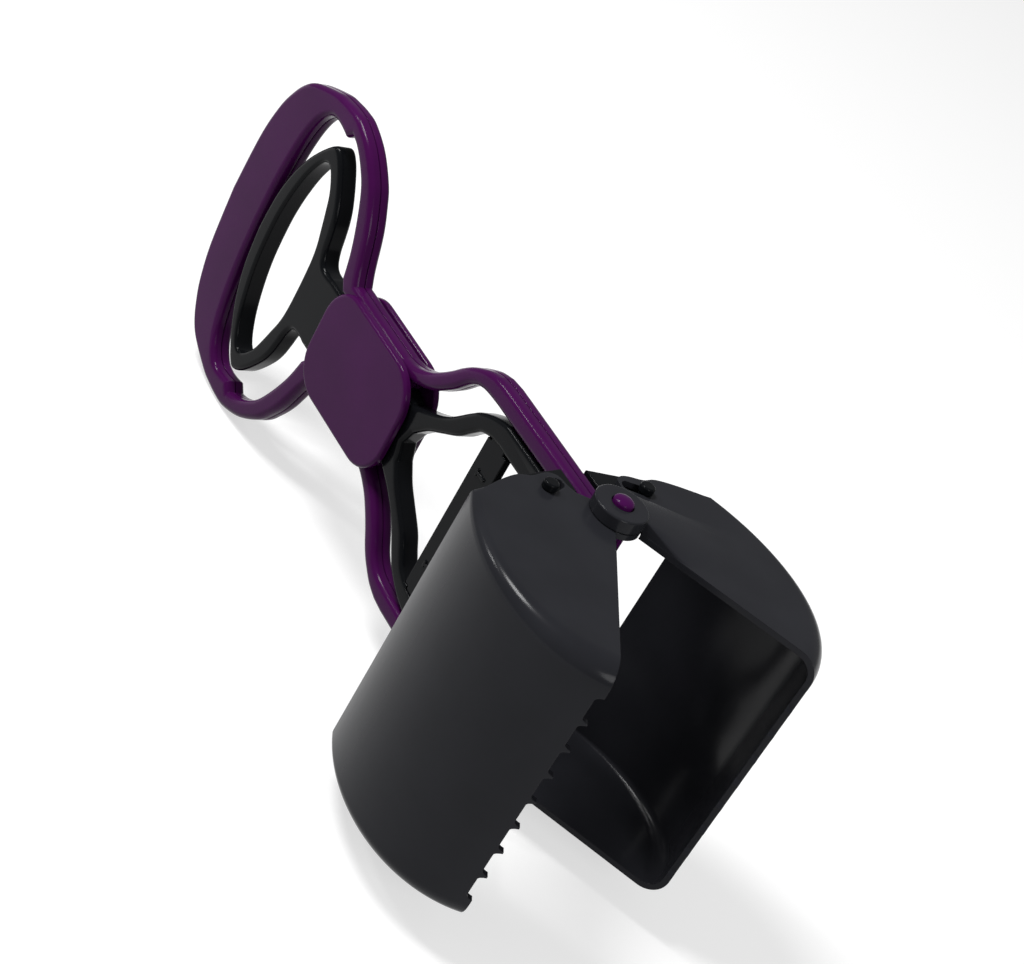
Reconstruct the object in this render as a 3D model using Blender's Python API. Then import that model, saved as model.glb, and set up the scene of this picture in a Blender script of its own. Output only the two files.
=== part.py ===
"""Jaw scooper for pet waste: a clamshell yoke handle, a squeeze trigger and two toothed jaws.

Metres, +Z up. The tool lies on its side: Y runs along the handle towards the grip, Z runs along
the hinge axis of the jaws and X across them, with the front jaw on the -X side. The pieces are
modelled around the hinge axis, and an empty carries them to the part's origin, which is the
middle of the footprint at floor level. They are shown squeezed, with the jaws fully open.
"""

import math

import bmesh
import bpy
from mathutils import Matrix, Vector

# Fits
FIT_GAP = 0.0003
RUN_GAP = 0.0006
CUT_OVERRUN = 0.002
WELD = 0.000002

# Jaws, measured in the closed position from the hinge axis
JAW_WIDTH = 0.0905
JAW_WALL = 0.0018
JAW_REACH = 0.0404
JAW_DEPTH = 0.0523
WALL_TOP_DROP = 0.0138
CORNER_RADIUS = 0.007
CORNER_TOP_RADIUS = 0.0022
OPEN_ANGLE = math.radians(31.5)
JAW_CURVE_POINTS = 22
CORNER_STEPS = 5
# Top edge of an end wall, as shares of the jaw's reach outwards and of its depth upwards
WALL_TOP_SHARES = [
    (0.90, -0.200), (0.80, -0.085), (0.70, 0.005), (0.60, 0.045), (0.52, 0.112), (0.46, 0.140), (0.40, 0.134),
    (0.345, 0.088), (0.28, 0.055),
]
TOOTH_COUNT = 9
TOOTH_PITCH = 0.0092
TOOTH_HEIGHT = 0.002
TOOTH_TIP = 0.0005
TOOTH_FLANK = 0.0012
# A tooth's hollow flank, as shares of its width and of the tooth's height
TOOTH_FLANK_SHARES = [(0.3, 0.5), (0.6, 0.82), (1.0, 1.0)]

# Hinge ears: the inner one is in line with its wall, the outer one stands over the other jaw
EAR_RING = 0.0049
OUTER_EAR_THICKNESS = 0.0038
EAR_EDGE = 0.0005
EAR_FOOT_OUT = 0.0122
EAR_FOOT_DROP = 0.02
EAR_FOOT_RADIUS = 0.012
EAR_STEP = 0.0005
EAR_FOOT_RISE = 0.0004
HINGE_PIN_RADIUS = 0.003
HINGE_PIN_PROUD = 0.0019
HINGE_PIN_FLANGE_RIM = 0.0007
HINGE_PIN_FLANGE = 0.0016
EYE_SKIN = 0.001
EAR_POINTS = 32
PIN_POINTS = 20

# Pins on the trigger's feet that swing the jaws
LIFT_PIN_OUT = 0.0168
LIFT_PIN_RISE = 0.0098
TRAVEL = 0.006
LIFT_PIN_RADIUS = 0.0016
LIFT_SLOT_GAP = 0.0004
LIFT_HEAD_RIM = 0.0006
LIFT_HEAD = 0.0021
LIFT_PIN_DEPTH = 0.004
SLOT_STEPS = 4
SLOT_POINTS = 16

# Yoke handle
HANDLE_THICKNESS = 0.0076
HANDLE_EDGE = 0.002
EDGE_STEPS = 2
GRIP_REACH = 0.2085
GRIP_HALF_WIDTH = 0.0565
LOOP_HEIGHT = 0.08
RAIL_LENGTH = 0.038
ARM_WIDTH = 0.0064
EYE_RING = 0.0012
RAIL_WIDTH = 0.006
SMOOTH_STEPS = 3
# Loop outline and the underside of its palm bar, as shares of the loop's height above its base
# and of the grip's half width
LOOP_OUTER_SHARES = [
    (0.025, 0.331), (0.055, 0.415), (0.106, 0.598), (0.158, 0.722), (0.214, 0.821), (0.322, 0.931),
    (0.436, 0.992), (0.510, 1.0), (0.580, 0.992), (0.650, 0.974), (0.786, 0.903), (0.853, 0.837),
    (0.905, 0.735), (0.947, 0.603), (0.982, 0.379), (1.0, 0.0),
]
LOOP_INNER_SHARES = [
    (0.122, 0.285), (0.153, 0.434), (0.206, 0.596), (0.266, 0.731), (0.329, 0.811), (0.391, 0.865),
    (0.445, 0.890),
]
PALM_INNER_SHARES = [
    (0.478, 0.848), (0.530, 0.862), (0.575, 0.865), (0.620, 0.848), (0.670, 0.775), (0.705, 0.655),
    (0.730, 0.480), (0.746, 0.260), (0.7512, 0.0),
]
# Arm outlines, as shares of the hub's foot height and of the arm's outer or inner face
ARM_OUTER_SHARES = [
    (1.075, 0.438), (1.025, 0.457), (0.980, 0.494), (0.934, 0.552), (0.893, 0.624), (0.854, 0.705),
    (0.820, 0.785), (0.787, 0.850), (0.747, 0.908), (0.706, 0.955), (0.655, 0.989),
]
ARM_INNER_SHARES = [
    (0.600, 0.996), (0.690, 0.975), (0.750, 0.897), (0.815, 0.712), (0.893, 0.545), (0.985, 0.425),
]
ARM_STRAIGHT_SHARE = 0.60
PEG_RADIUS = 0.0013
PEG_LENGTH = 0.002
PEG_POINTS = 12
# Pegs of the palm bar, as shares of the loop's height and of the grip's half width
PALM_PEG_SHARES = [(0.8375, 0.0), (0.8375, 0.448), (0.8375, -0.448)]
ARM_PEG_REACH = 0.03

# Hub covers
HUB_HALF_WIDTH = 0.0187
HUB_UNDERLAP = 0.0076
HUB_OVERLAP = 0.0065
HUB_CORNER = 0.0125
HUB_CORNER_STEPS = 6
COVER_THICKNESS = 0.0024
COVER_EDGE = 0.0011
SCREW_RADIUS = 0.0011
SCREW_HEAD_RIM = 0.001
SCREW_HEAD = 0.001
SCREW_TOP_MARGIN = 0.0165
SCREW_BOTTOM_MARGIN = 0.017
SCREW_BITE = 0.0012
SCREW_SLOT_WIDTH = 0.0005
SCREW_SLOT_DEPTH = 0.0005
SCREW_SLOT_SHARE = 0.7
SCREW_POINTS = 16

# Trigger
TRIGGER_EDGE = 0.0016
RING_STOP_GAP = 0.0008
RING_PALM_GAP = 0.0014
RING_SIDE_GAP = 0.0069
TRIGGER_ARM_WIDTH = 0.0078
# Ring outline, as shares of its height above the base and of its half width
RING_OUTER_SHARES = [
    (0.037, 0.272), (0.121, 0.274), (0.172, 0.302), (0.209, 0.380), (0.231, 0.484), (0.260, 0.599),
    (0.311, 0.714), (0.414, 0.866), (0.498, 0.958), (0.577, 1.0), (0.639, 0.967), (0.700, 0.903),
    (0.758, 0.829), (0.833, 0.712), (0.912, 0.539), (0.9735, 0.304), (1.0, 0.0),
]
RING_WINDOW_SHARES = [
    (0.2995, 0.0), (0.304, 0.196), (0.322, 0.334), (0.361, 0.461), (0.403, 0.587), (0.443, 0.691),
    (0.504, 0.781), (0.568, 0.838), (0.634, 0.828), (0.700, 0.746), (0.7665, 0.595), (0.819, 0.3915),
    (0.848, 0.1935), (0.8546, 0.0),
]
FORK_LAP = 0.0005
# Fork outlines, as shares of the fork's top height and of the outer face of its arms
FORK_OUTER_SHARES = [
    (0.940, 0.300), (0.848, 0.411), (0.763, 0.551), (0.690, 0.741), (0.653, 0.831), (0.609, 0.901),
    (0.560, 0.957), (0.510, 0.994),
]
FORK_INNER_SHARES = [
    (0.500, 0.792), (0.551, 0.778), (0.577, 0.758), (0.610, 0.717), (0.646, 0.624), (0.688, 0.507),
    (0.762, 0.375), (0.817, 0.275), (0.866, 0.145),
]
FORK_CROTCH_SHARE = 0.890
FOOT_WEB = 0.004
FOOT_PIN_MARGIN = 0.0038
FOOT_UNDER_PIN = 0.0042
FOOT_OVER_PIN = 0.0085
FOOT_SHOULDER = 0.0145
FOOT_EYE_ROOM = 0.003
FOOT_RIDGE = 0.0026
FOOT_CORNER = 0.003
FOOT_CORNER_STEPS = 4

# Cross plate between the trigger's arms
PLATE_BOTTOM_SHARE = 0.453
PLATE_HEIGHT = 0.0104
PLATE_THICKNESS = 0.0025
PLATE_INSET = 0.0005
TENON_LENGTH = 0.0034
TENON_SHOULDER = 0.0018
PLATE_MARK_OUT = 0.0175
PLATE_MARK_LENGTH = 0.0045
PLATE_MARK_STROKE = 0.0009
PLATE_MARK_RISE = 0.0005

# Return spring and its seats
SPRING_RADIUS = 0.0025
SPRING_WIRE = 0.0008
SPRING_TURNS = 8
SPRING_TURN_POINTS = 9
SPRING_ROOM = 0.0007
SPIGOT_ROOM = 0.0006
SPIGOT_LENGTH = 0.0035
POCKET_RISE = 0.0196
POCKET_END = 0.0002
ANCHOR_HEIGHT = 0.0034
ANCHOR_MARGIN = 0.0026

# Sizes that follow
HALF_WIDTH = JAW_WIDTH / 2
WALL_INNER = HALF_WIDTH - JAW_WALL
MOUTH_GAP = FIT_GAP / 2
JAW_LENGTH = WALL_TOP_DROP + JAW_DEPTH
OUTER_EAR_RADIUS = HINGE_PIN_RADIUS + EAR_RING
INNER_EAR_RADIUS = OUTER_EAR_RADIUS
HINGE_PIN_FLANGE_RADIUS = HINGE_PIN_RADIUS + HINGE_PIN_FLANGE_RIM
EYE_RADIUS = HINGE_PIN_FLANGE_RADIUS + FIT_GAP + EYE_RING
LIFT_HEAD_RADIUS = LIFT_PIN_RADIUS + LIFT_HEAD_RIM
ARM_OUTER = WALL_INNER - RUN_GAP
ARM_INNER = ARM_OUTER - ARM_WIDTH
FORK_OUTER = ARM_INNER - RUN_GAP
FORK_INNER = FORK_OUTER - TRIGGER_ARM_WIDTH
EAR_SEAT = HALF_WIDTH + FIT_GAP
EAR_FACE = EAR_SEAT + OUTER_EAR_THICKNESS
PIN_TIP = EAR_FACE + HINGE_PIN_PROUD
COVER_SEAT = HANDLE_THICKNESS / 2 + FIT_GAP
RAIL_CENTRE = HUB_HALF_WIDTH - RAIL_WIDTH / 2
RAIL_INNER = HUB_HALF_WIDTH - RAIL_WIDTH
LOOP_BASE = GRIP_REACH - LOOP_HEIGHT
HUB_FOOT = LOOP_BASE - RAIL_LENGTH
HUB_BOTTOM = HUB_FOOT - HUB_UNDERLAP
HUB_TOP = LOOP_BASE + HUB_OVERLAP
SCREW_HEAD_RADIUS = SCREW_RADIUS + SCREW_HEAD_RIM
TRIGGER_THICKNESS = 2 * (COVER_SEAT - RUN_GAP)
NECK_HALF_WIDTH = RAIL_INNER - RUN_GAP
RING_BASE = HUB_TOP + TRAVEL + RING_STOP_GAP
RING_TOP = LOOP_BASE + LOOP_HEIGHT * PALM_INNER_SHARES[-1][0] - RING_PALM_GAP
RING_HALF_WIDTH = GRIP_HALF_WIDTH * LOOP_INNER_SHARES[-1][1] - RING_SIDE_GAP
FORK_TOP = HUB_FOOT + FORK_LAP
FOOT_HALF_LENGTH = LIFT_PIN_OUT + FOOT_PIN_MARGIN
FOOT_BLOCK_INSIDE = EYE_RADIUS + FOOT_EYE_ROOM
FOOT_BOTTOM = LIFT_PIN_RISE - FOOT_UNDER_PIN
FOOT_TOP = LIFT_PIN_RISE + FOOT_OVER_PIN
PLATE_BOTTOM = FORK_TOP * PLATE_BOTTOM_SHARE
PLATE_TOP = PLATE_BOTTOM + PLATE_HEIGHT
PLATE_FRONT = TRIGGER_THICKNESS / 2 - PLATE_INSET
POCKET_HALF_WIDTH = SPRING_RADIUS + SPRING_WIRE / 2 + SPRING_ROOM
SPIGOT_RADIUS = SPRING_RADIUS - SPRING_WIRE / 2 - SPIGOT_ROOM
POCKET_BOTTOM = HUB_BOTTOM + POCKET_RISE
POCKET_TOP = HUB_TOP - POCKET_END
ANCHOR_BOTTOM = POCKET_TOP - TRAVEL - ANCHOR_MARGIN - ANCHOR_HEIGHT

# Looks, as colour, roughness and metallic value
PURPLE_PLASTIC = ((0.055, 0.012, 0.062, 1.0), 0.3, 0.0)
CHARCOAL_PLASTIC = ((0.027, 0.028, 0.032, 1.0), 0.4, 0.0)
BLACK_PLASTIC = ((0.013, 0.014, 0.016, 1.0), 0.32, 0.0)
ZINC_STEEL = ((0.56, 0.57, 0.58, 1.0), 0.35, 1.0)


def material(name, colour, roughness, metallic):
    made = bpy.data.materials.new(name)
    made.use_nodes = True
    shader = made.node_tree.nodes["Principled BSDF"]
    shader.inputs["Base Color"].default_value = colour
    shader.inputs["Roughness"].default_value = roughness
    shader.inputs["Metallic"].default_value = metallic
    made.diffuse_color = colour
    return made


def new_object(name, mesh):
    made = bpy.data.objects.new(name, mesh)
    bpy.context.scene.collection.objects.link(made)
    return made


def from_bmesh(name, work):
    bmesh.ops.recalc_face_normals(work, faces=work.faces)
    mesh = bpy.data.meshes.new(name)
    work.to_mesh(mesh)
    work.free()
    return new_object(name, mesh)


def prism(name, outline, low, high, axis, edge=0.0, edge_ends=("low", "high"), split_caps=False):
    """Extrudes an outline along X or Z, with its rim rounded at the named ends.

    Where split_caps is set its caps are triangles: a Boolean fills the hollows of a cap that is one
    long outline, and tears a cap that gets several holes.
    """
    work = bmesh.new()
    rings = {}
    for end, level in (("low", low), ("high", high)):
        places = [(level, a, b) if axis == "X" else (a, b, level) for a, b in outline]
        rings[end] = [work.verts.new(place) for place in places]
        work.faces.new(rings[end])
    count = len(outline)
    for i in range(count):
        j = (i + 1) % count
        work.faces.new((rings["low"][i], rings["low"][j], rings["high"][j], rings["high"][i]))
    bmesh.ops.recalc_face_normals(work, faces=work.faces)
    if edge > 0:
        rims = []
        for end in edge_ends:
            ring = rings[end]
            rims += [work.edges.get((ring[i], ring[(i + 1) % count])) for i in range(count)]
        bmesh.ops.bevel(
            work, geom=rims, offset=edge, offset_type="OFFSET", segments=EDGE_STEPS, profile=0.5,
            affect="EDGES", clamp_overlap=False,
        )
    if split_caps:
        caps = [face for face in work.faces if len(face.verts) > 4]
        bmesh.ops.triangulate(work, faces=caps)
    return from_bmesh(name, work)


def circle(centre, radius, points):
    """Points round a circle."""
    turns = [2 * math.pi * i / points for i in range(points)]
    return [(centre[0] + radius * math.cos(t), centre[1] + radius * math.sin(t)) for t in turns]


def rod(name, centre, profile, points, axis="Z"):
    """Turns a profile of (radius, level) pairs round a line along Z, X or Y."""
    work = bmesh.new()
    rings = []
    for radius, level in profile:
        if radius > 0:
            ring = [(a, b, level) for a, b in circle((0, 0), radius, points)]
        else:
            ring = [(0, 0, level)]
        rings.append([work.verts.new(place) for place in ring])
    for lower, upper in zip(rings, rings[1:]):
        for i in range(points):
            j = (i + 1) % points
            if len(lower) == 1:
                work.faces.new((lower[0], upper[j], upper[i]))
            elif len(upper) == 1:
                work.faces.new((lower[i], lower[j], upper[0]))
            else:
                work.faces.new((lower[i], lower[j], upper[j], upper[i]))
    for ring in (rings[0], rings[-1]):
        if len(ring) > 1:
            work.faces.new(ring)
    turn = {
        "Z": Matrix.Identity(4),
        "X": Matrix.Rotation(math.pi / 2, 4, "Y"),
        "Y": Matrix.Rotation(-math.pi / 2, 4, "X"),
    }[axis]
    bmesh.ops.transform(work, matrix=Matrix.Translation(Vector(centre)) @ turn, verts=work.verts)
    return from_bmesh(name, work)


def box(name, low, high):
    """A block between two corners."""
    outline = [(low[0], low[1]), (high[0], low[1]), (high[0], high[1]), (low[0], high[1])]
    return prism(name, outline, low[2], high[2], "Z")


def combine(target, tool, operation):
    """Applies a Boolean to the target and removes the tool."""
    modifier = target.modifiers.new(operation.lower(), "BOOLEAN")
    modifier.operation = operation
    modifier.solver = "EXACT"
    modifier.object = tool
    bpy.context.view_layer.update()
    evaluated = target.evaluated_get(bpy.context.evaluated_depsgraph_get())
    mesh = bpy.data.meshes.new_from_object(evaluated)
    target.modifiers.clear()
    work = bmesh.new()
    work.from_mesh(mesh)
    bmesh.ops.remove_doubles(work, verts=work.verts, dist=WELD)
    bmesh.ops.dissolve_degenerate(work, dist=WELD, edges=work.edges)
    work.to_mesh(mesh)
    work.free()
    target.data = mesh
    bpy.data.objects.remove(tool)
    return target


def cut(target, tool):
    return combine(target, tool, "DIFFERENCE")


def add(target, tool):
    return combine(target, tool, "UNION")


def smooth(points, steps=SMOOTH_STEPS):
    """A Catmull-Rom curve through the points, with the given steps from each to the next."""
    ends = [points[0]] + list(points) + [points[-1]]
    curve = []
    for p0, p1, p2, p3 in zip(ends, ends[1:], ends[2:], ends[3:]):
        for i in range(steps):
            t = i / steps
            place = []
            for a, b, c, d in zip(p0, p1, p2, p3):
                bend = a - 5 * b / 2 + 2 * c - d / 2
                twist = (3 * b - a - 3 * c + d) / 2
                place.append(b + t * (c - a) / 2 + t * t * bend + t * t * t * twist)
            curve.append(tuple(place))
    curve.append(tuple(points[-1]))
    return curve


def shaped(shares, base, height, width):
    """Turns shares of a height above a base and of a width into (Y, Z) places."""
    return [(base + up * height, out * width) for up, out in shares]


def both_sides(half):
    """Closes a half outline, drawn at +Z, with its mirror image."""
    mirrored = [(y, -z) for y, z in reversed(half) if z > 0]
    return list(half) + mirrored


def rounded_box(low, high, radius, steps):
    """A rectangle outline with round corners, between two (a, b) corners."""
    outline = []
    centres = [
        (high[0] - radius, high[1] - radius), (low[0] + radius, high[1] - radius),
        (low[0] + radius, low[1] + radius), (high[0] - radius, low[1] + radius),
    ]
    for quarter, centre in enumerate(centres):
        for i in range(steps + 1):
            turn = math.pi / 2 * (quarter + i / steps)
            outline.append((centre[0] + radius * math.cos(turn), centre[1] + radius * math.sin(turn)))
    return outline


def opened(out, up, angle):
    """Swings a place of the closed front jaw open; places are (outwards, upwards)."""
    return (
        out * math.cos(angle) - up * math.sin(angle),
        out * math.sin(angle) + up * math.cos(angle),
    )


def wall_place(share, inset):
    """A place a share of the way from the curved wall's top edge to its lip, moved inwards."""
    turn = math.pi / 2 * share
    out = JAW_REACH * math.cos(turn)
    down = JAW_DEPTH * math.sin(turn)
    normal = Vector((math.cos(turn) / JAW_REACH, math.sin(turn) / JAW_DEPTH)).normalized()
    return out - inset * normal.x, -WALL_TOP_DROP - down + inset * normal.y


def bowl(name, wall, end, top_outline, mouth):
    """A block with the jaw's curved side, which runs round its ends in a corner that widens to the lip."""
    turns = [math.pi / 2 * i / CORNER_STEPS for i in range(CORNER_STEPS + 1)]
    work = bmesh.new()
    rings = []
    for side, turn in [(-1, turn) for turn in reversed(turns)] + [(1, turn) for turn in turns]:
        places = []
        for i in range(JAW_CURVE_POINTS):
            share = i / (JAW_CURVE_POINTS - 1)
            radius = CORNER_TOP_RADIUS + (CORNER_RADIUS - CORNER_TOP_RADIUS) * share - wall
            out, up = wall_place(share, wall + radius * (1 - math.cos(turn)))
            places.append((out, up, side * (end - radius * (1 - math.sin(turn)))))
        places[-1] = (mouth, *places[-1][1:])
        places = [(out, up, places[0][2]) for out, up in top_outline] + places
        rings.append([work.verts.new((-out, up, z)) for out, up, z in places])
    count = len(rings[0])
    for lower, upper in zip(rings, rings[1:]):
        for i in range(count):
            j = (i + 1) % count
            work.faces.new((lower[i], lower[j], upper[j], upper[i]))
    for ring in (rings[0], rings[-1]):
        work.faces.new(ring)
    bmesh.ops.triangulate(work, faces=work.faces)
    return from_bmesh(name, work)


def lift_pin_path():
    """Where the front jaw's lift pin stands in the closed jaw's frame, from open to closed."""
    path = []
    for i in range(SLOT_STEPS + 1):
        left = 1 - i / SLOT_STEPS
        rise = LIFT_PIN_RISE - TRAVEL * (1 - left)
        path.append(opened(LIFT_PIN_OUT, rise, -OPEN_ANGLE * left))
    return path


def lift_slot(end):
    """A cutter along the lift pin's path through one end wall."""
    work = bmesh.new()
    for out, up in lift_pin_path():
        for a, b in circle((-out, up), LIFT_PIN_RADIUS + LIFT_SLOT_GAP, SLOT_POINTS):
            for level in (WALL_INNER - CUT_OVERRUN, HALF_WIDTH + CUT_OVERRUN):
                work.verts.new((a, b, end * level))
    hull = bmesh.ops.convex_hull(work, input=work.verts)
    loose = [item for item in hull["geom_interior"] if isinstance(item, bmesh.types.BMVert)]
    bmesh.ops.delete(work, geom=loose, context="VERTS")
    return from_bmesh("lift_slot", work)


def outer_ear():
    """The raised ear at the jaw's far end, a disc whose own side tapers down into the end wall."""
    rim = [
        (OUTER_EAR_RADIUS, -EAR_SEAT), (OUTER_EAR_RADIUS, EAR_EDGE - EAR_FACE),
        (OUTER_EAR_RADIUS - EAR_EDGE, -EAR_FACE),
    ]
    work = bmesh.new()
    for level in (-EAR_SEAT, EAR_STEP - EAR_FACE):
        for a, b in circle((0, 0), OUTER_EAR_RADIUS - EAR_EDGE, EAR_POINTS):
            if a < -MOUTH_GAP:
                work.verts.new((a, b, level))
    for level in (HALF_WIDTH - JAW_WALL / 2, HALF_WIDTH + EAR_FOOT_RISE):
        for a, b in circle((-EAR_FOOT_OUT, -EAR_FOOT_DROP), EAR_FOOT_RADIUS, EAR_POINTS):
            work.verts.new((a, b, -level))
    hull = bmesh.ops.convex_hull(work, input=work.verts)
    loose = [item for item in hull["geom_interior"] if isinstance(item, bmesh.types.BMVert)]
    bmesh.ops.delete(work, geom=loose, context="VERTS")
    return add(rod("outer_ear", (0, 0, 0), rim, EAR_POINTS), from_bmesh("taper", work))


def tooth_gaps():
    """A cutter that leaves teeth along the lip, with flat gaps between their hollow flanks."""
    tip = TOOTH_TIP / 2
    flank = []
    for out, down in TOOTH_FLANK_SHARES:
        flank.append((tip + out * TOOTH_FLANK, -MOUTH_GAP - down * TOOTH_HEIGHT))
    end = TOOTH_PITCH * (TOOTH_COUNT - 1) / 2 - tip
    outline = [(CUT_OVERRUN, end), (CUT_OVERRUN, -end)]
    for gap in range(TOOTH_COUNT - 1):
        low = (gap - (TOOTH_COUNT - 1) / 2) * TOOTH_PITCH
        high = low + TOOTH_PITCH
        outline += [(0, low + tip)] + [(x, low + out) for out, x in flank]
        outline += [(x, high - out) for out, x in reversed(flank)] + [(0, high - tip)]
    work = bmesh.new()
    rings = []
    for level in (-JAW_LENGTH - CUT_OVERRUN, -JAW_LENGTH + JAW_WALL + CUT_OVERRUN):
        rings.append([work.verts.new((x, level, z)) for x, z in outline])
        work.faces.new(rings[-1])
    for i in range(len(outline)):
        j = (i + 1) % len(outline)
        work.faces.new((rings[0][i], rings[0][j], rings[1][j], rings[1][i]))
    return from_bmesh("tooth_gaps", work)


def build_jaw():
    """One jaw, closed and at the front; the rear jaw is the same moulding turned half way round."""
    wall_top = [(out * JAW_REACH, up * JAW_DEPTH) for out, up in WALL_TOP_SHARES]
    top_outline = [(MOUTH_GAP, wall_top[-1][1])] + list(reversed(wall_top))
    jaw = bowl("front_jaw", 0.0, HALF_WIDTH, top_outline, MOUTH_GAP)
    inside_top = [(-JAW_REACH, JAW_DEPTH), (JAW_REACH - JAW_WALL, JAW_DEPTH)]
    cut(jaw, bowl("inside", JAW_WALL, WALL_INNER, inside_top, -JAW_REACH))

    inner_ear = circle((0, 0), INNER_EAR_RADIUS, EAR_POINTS)
    add(jaw, prism("inner_ear", inner_ear, WALL_INNER, HALF_WIDTH, "Z"))
    add(jaw, outer_ear())
    clearance = circle((0, 0), INNER_EAR_RADIUS + FIT_GAP, EAR_POINTS)
    cut(jaw, prism("ear_room", clearance, -EAR_SEAT, -WALL_INNER + CUT_OVERRUN, "Z"))
    bore = circle((0, 0), HINGE_PIN_RADIUS + FIT_GAP, PIN_POINTS)
    for end in (-1, 1):
        levels = sorted((end * (WALL_INNER - CUT_OVERRUN), end * (EAR_FACE + CUT_OVERRUN)))
        cut(jaw, prism("bore", bore, levels[0], levels[1], "Z"))
        cut(jaw, lift_slot(end))
    cut(jaw, tooth_gaps())
    return jaw


def handle_outline():
    """The yoke seen from the front, as (Y, Z) places round one closed loop and two arms."""
    outer = [(0, ARM_OUTER), (HUB_FOOT * ARM_STRAIGHT_SHARE, ARM_OUTER)]
    outer += smooth(list(reversed(shaped(ARM_OUTER_SHARES, 0, HUB_FOOT, ARM_OUTER))))
    outer += smooth(shaped(LOOP_OUTER_SHARES, LOOP_BASE, LOOP_HEIGHT, GRIP_HALF_WIDTH))
    inner = smooth(list(reversed(shaped(PALM_INNER_SHARES, LOOP_BASE, LOOP_HEIGHT, GRIP_HALF_WIDTH))))
    inner += smooth(list(reversed(shaped(LOOP_INNER_SHARES, LOOP_BASE, LOOP_HEIGHT, GRIP_HALF_WIDTH))))
    rail_top = LOOP_BASE + LOOP_HEIGHT * LOOP_INNER_SHARES[0][0] - RAIL_WIDTH / 2
    inner += [(rail_top, RAIL_INNER), (HUB_FOOT, RAIL_INNER)]
    inner += smooth(list(reversed(shaped(ARM_INNER_SHARES, 0, HUB_FOOT, ARM_INNER))))
    inner += [(0, ARM_INNER)]
    left_outer = [(y, -z) for y, z in reversed(outer[:-1])]
    left_inner = [(y, -z) for y, z in reversed(inner)][:-1]
    return outer + left_outer + left_inner + inner


def screw_places():
    levels = (HUB_BOTTOM + SCREW_BOTTOM_MARGIN, HUB_TOP - SCREW_TOP_MARGIN)
    return [(y, z) for y in levels for z in (-RAIL_CENTRE, RAIL_CENTRE)]


def peg_places():
    arm_centre = (ARM_OUTER + ARM_INNER) / 2
    pegs = shaped(PALM_PEG_SHARES, LOOP_BASE, LOOP_HEIGHT, GRIP_HALF_WIDTH)
    return pegs + [(ARM_PEG_REACH, arm_centre), (ARM_PEG_REACH, -arm_centre)]


def hinge_pin_profile(gap=0.0):
    """The hinge pin from its flange in the arm's eye out to its domed tip, as (radius, level)."""
    flange_start = ARM_INNER + EYE_SKIN - gap + FIT_GAP
    flange_end = ARM_INNER + EYE_SKIN + FIT_GAP + HINGE_PIN_FLANGE + gap
    shaft = HINGE_PIN_RADIUS + gap
    profile = [(HINGE_PIN_FLANGE_RADIUS + gap, flange_start), (HINGE_PIN_FLANGE_RADIUS + gap, flange_end)]
    profile += [(shaft, flange_end)]
    if gap > 0:
        return profile + [(shaft, ARM_OUTER + CUT_OVERRUN)]
    dome = HINGE_PIN_PROUD * 2 / 3
    for i in range(EDGE_STEPS + 1):
        turn = math.pi / 2 * i / (EDGE_STEPS + 1)
        profile.append((shaft * math.cos(turn), PIN_TIP - dome + dome * math.sin(turn)))
    return profile + [(0, PIN_TIP)]


def turned_down(profile):
    return [(radius, -level) for radius, level in profile]


def build_handle():
    """The yoke: a palm loop, two rails for the hub and two arms that end in hinge eyes."""
    half = HANDLE_THICKNESS / 2
    yoke = prism("yoke", handle_outline(), -half, half, "X", HANDLE_EDGE, split_caps=True)
    for end in (-1, 1):
        low, high = sorted((end * ARM_INNER, end * ARM_OUTER))
        eye = circle((0, 0), EYE_RADIUS, EAR_POINTS)
        add(yoke, prism("eye", eye, low, high, "Z"))
        profile = hinge_pin_profile(FIT_GAP)
        if end < 0:
            profile = turned_down(profile)
        cut(yoke, rod("pin_room", (0, 0, 0), profile, PIN_POINTS))
    for y, z in screw_places():
        hole = [(SCREW_RADIUS + FIT_GAP, -half - CUT_OVERRUN), (SCREW_RADIUS + FIT_GAP, half + CUT_OVERRUN)]
        cut(yoke, rod("screw_hole", (0, y, z), hole, SCREW_POINTS, "X"))

    reach = GRIP_REACH + CUT_OVERRUN
    side = GRIP_HALF_WIDTH + CUT_OVERRUN
    deep = EYE_RADIUS + CUT_OVERRUN
    front = yoke
    front.name = "handle_front_half"
    rear = new_object("handle_rear_half", yoke.data.copy())
    cut(front, box("rear_space", (-MOUTH_GAP, -deep, -side), (deep, reach, side)))
    cut(rear, box("front_space", (-deep, -deep, -side), (MOUTH_GAP, reach, side)))
    for y, z in peg_places():
        peg = [(PEG_RADIUS, -MOUTH_GAP - PEG_LENGTH / 2), (PEG_RADIUS, PEG_LENGTH)]
        add(front, rod("peg", (0, y, z), peg, PEG_POINTS, "X"))
        socket = [(PEG_RADIUS + FIT_GAP, -CUT_OVERRUN), (PEG_RADIUS + FIT_GAP, PEG_LENGTH + FIT_GAP)]
        cut(rear, rod("socket", (0, y, z), socket, PEG_POINTS, "X"))
    return front, rear


def build_hinge_pin(name, end):
    """A domed pin held by its flange in the handle's eye; it carries both jaws."""
    profile = hinge_pin_profile()
    return rod(name, (0, 0, 0), profile if end > 0 else turned_down(profile), PIN_POINTS)


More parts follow.
